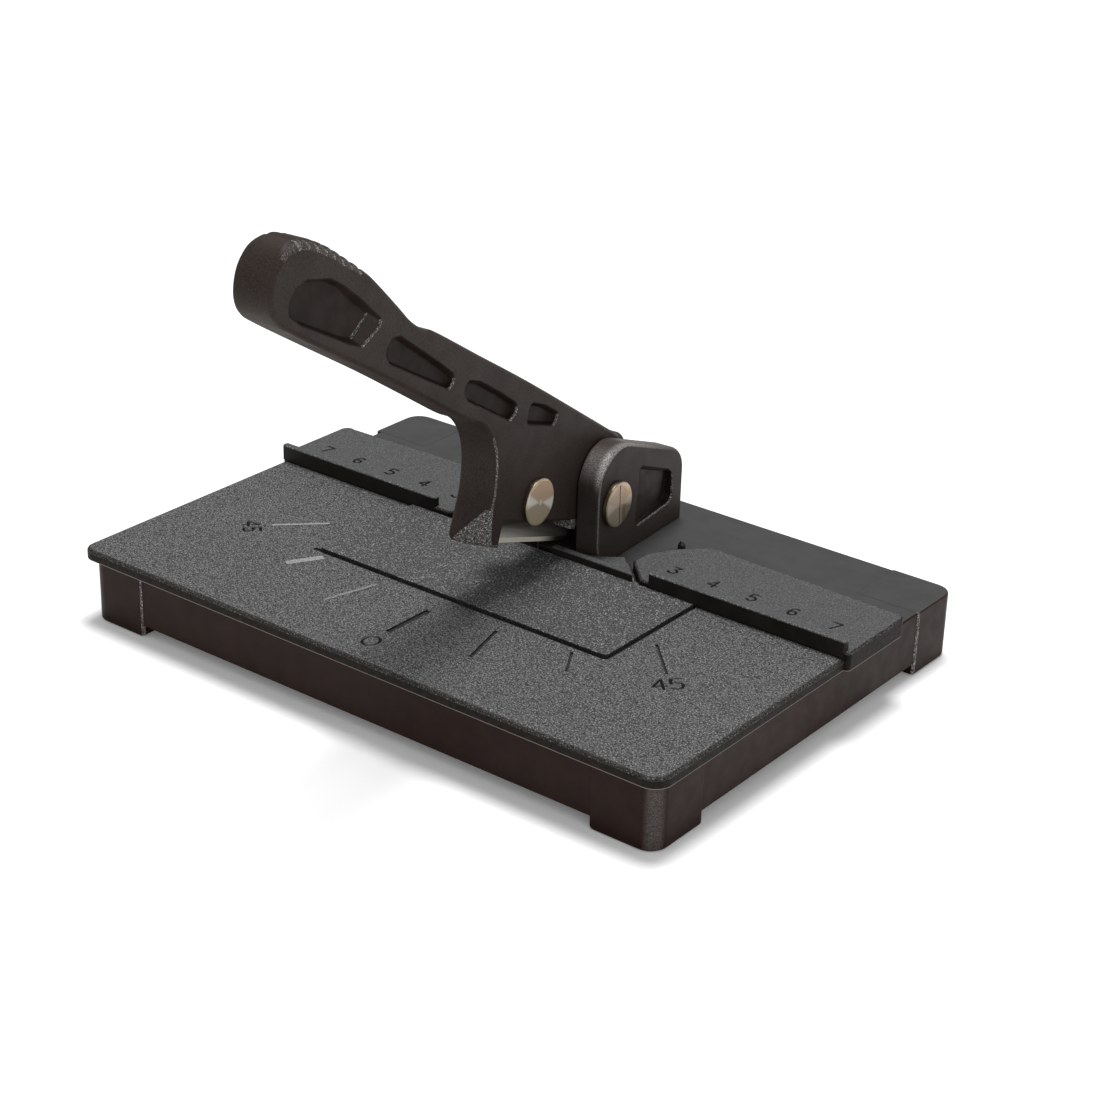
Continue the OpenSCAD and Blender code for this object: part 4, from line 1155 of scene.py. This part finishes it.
def make_blade():
    half, spine, step, low, tip = 0.25, 5.0, -5.52, -9.9, -11.0
    front, heel, keen = -36.0, 0.7, 0.03        # keen is half of the edge's thickness
    skin = Skin()
    plan = [(front, spine), (heel - 6.0, spine), (heel - 6.0, step), (heel, step), (heel, low),
            (front, low)]
    left, right = skin.upright(plan, -half), skin.upright(plan, half)
    skin.band(left, right)
    skin.fill(left, 0)
    skin.fill(right, 0)
    skin.done("blade_plate", "arm", [STEEL], ["blade"])
    skin = Skin()
    ends = [skin.ring([(-half, y, low), (-keen, y, tip), (keen, y, tip), (half, y, low)])
            for y in (front, heel)]
    skin.band(*ends)
    for end in ends:
        skin.fill(end, 1)
    skin.done("blade_bevel", "arm", [KEEN])


def dress_hidden_parts():
    """Finishes for the small parts that keep their construction shape."""
    for name in ("deck_screws", "fence_screws", "swivel_bolt", "swivel_washer",
                 "swivel_spring", "swivel_nut", "pivot_washer", "pivot_nut", "blade_pins",
                 "clamp_washer", "clamp_nut", "pivot_bush"):
        node = frame["nodes"][name]
        for holder in [node, *node.children]:
            if holder.type == "MESH":
                for slot in holder.material_slots:
                    slot.material = (BRONZE if name == "pivot_bush" else ZINC).mat


make_tray()
make_rear_deck()
for hand in (-1, 1):
    for is_rear in (False, True):
        make_foot(hand, is_rear)
make_ribs()
make_deck()
make_plate()
for hand in (-1, 1):
    make_fence(hand)
make_pins()
for hand in (-1, 1):
    make_ear(hand)
make_yoke_floor()
make_screw("pivot_screw", "head", PIVOT_PLACE, PIVOT_NICKEL, 5.1, 2 * YOKE_HALF + 4.5, 3.0,
           (0.4, 2.7), slot=True)
make_lever()
make_lug()
make_blade()
make_screw("clamp_screw", "arm", CLAMP_PLACE, CLAMP_NICKEL, 5.15, 2 * LEVER_HALF + 3.4, 2.0,
           (0.3, 1.8))
dress_hidden_parts()


# Stage and light

def make_floor():
    """Plain white bench that keeps the object's shadow."""
    bench = Finish("bench_white", Roughness=0.9)
    bench.color(bench.mix(bench.noise(60.0), 250, 253))
    # Far from the object the bench fades into the white of the backdrop.
    seen = Amount(bench, bench.node("ShaderNodeLightPath").outputs["Is Camera Ray"])
    x, y = bench.along("X"), bench.along("Y")
    away = bench.step(bench.sum("SQRT", x * x + y * y), 350.0, 1000.0, 0.1, 1.0)
    bench.put(bench.shader.inputs["Emission Color"],
              bench.mix(seen * away, 0, 255))
    bench.shader.inputs["Emission Strength"].default_value = 1.0
    half, below = 3.0, 0.0001
    mesh = bpy.data.meshes.new("floor")
    mesh.from_pydata([(x, y, 0) for x, y in box(-half, -half, half, half)], [], [(0, 1, 2, 3)])
    mesh.materials.append(bench.mat)
    floor = shown("floor", mesh)
    floor.location.z = -below


def lamp(name, place, size, watts):
    """A square lamp that shines on the middle of the bench."""
    data = bpy.data.lights.new(name, "AREA")
    data.shape = "RECTANGLE"
    data.size, data.size_y = size, size
    data.energy = watts
    obj = shown(name, data)
    obj.location = place
    obj.rotation_euler = (-Vector(place)).to_track_quat("-Z", "Y").to_euler()


def make_sky():
    """Even light from all round, behind which the camera sees plain white."""
    world = bpy.data.worlds.new("world")
    bpy.context.scene.world = world
    world.use_nodes = True
    sky = Nodes(world.node_tree)
    plain, evenly = 255, 0.42
    light = sky.tree.nodes["Background"]
    sky.put(light.inputs["Color"], plain)
    sky.put(light.inputs["Strength"], evenly)
    white = sky.node("ShaderNodeBackground", values={"Color": plain, "Strength": 1.0})
    seen = sky.node("ShaderNodeLightPath").outputs["Is Camera Ray"]
    choice = sky.node("ShaderNodeMixShader", values={
        0: seen, 1: light.outputs["Background"], 2: white.outputs["Background"]})
    sky.put(sky.tree.nodes["World Output"].inputs["Surface"], choice.outputs["Shader"])


make_floor()
lamp("key", (-0.12, 0.28, 1.58), 0.5, 22)
lamp("fill", (1.1, -0.5, 0.5), 0.8, 2.2)
make_sky()
bpy.context.scene.view_settings.view_transform = "Standard"
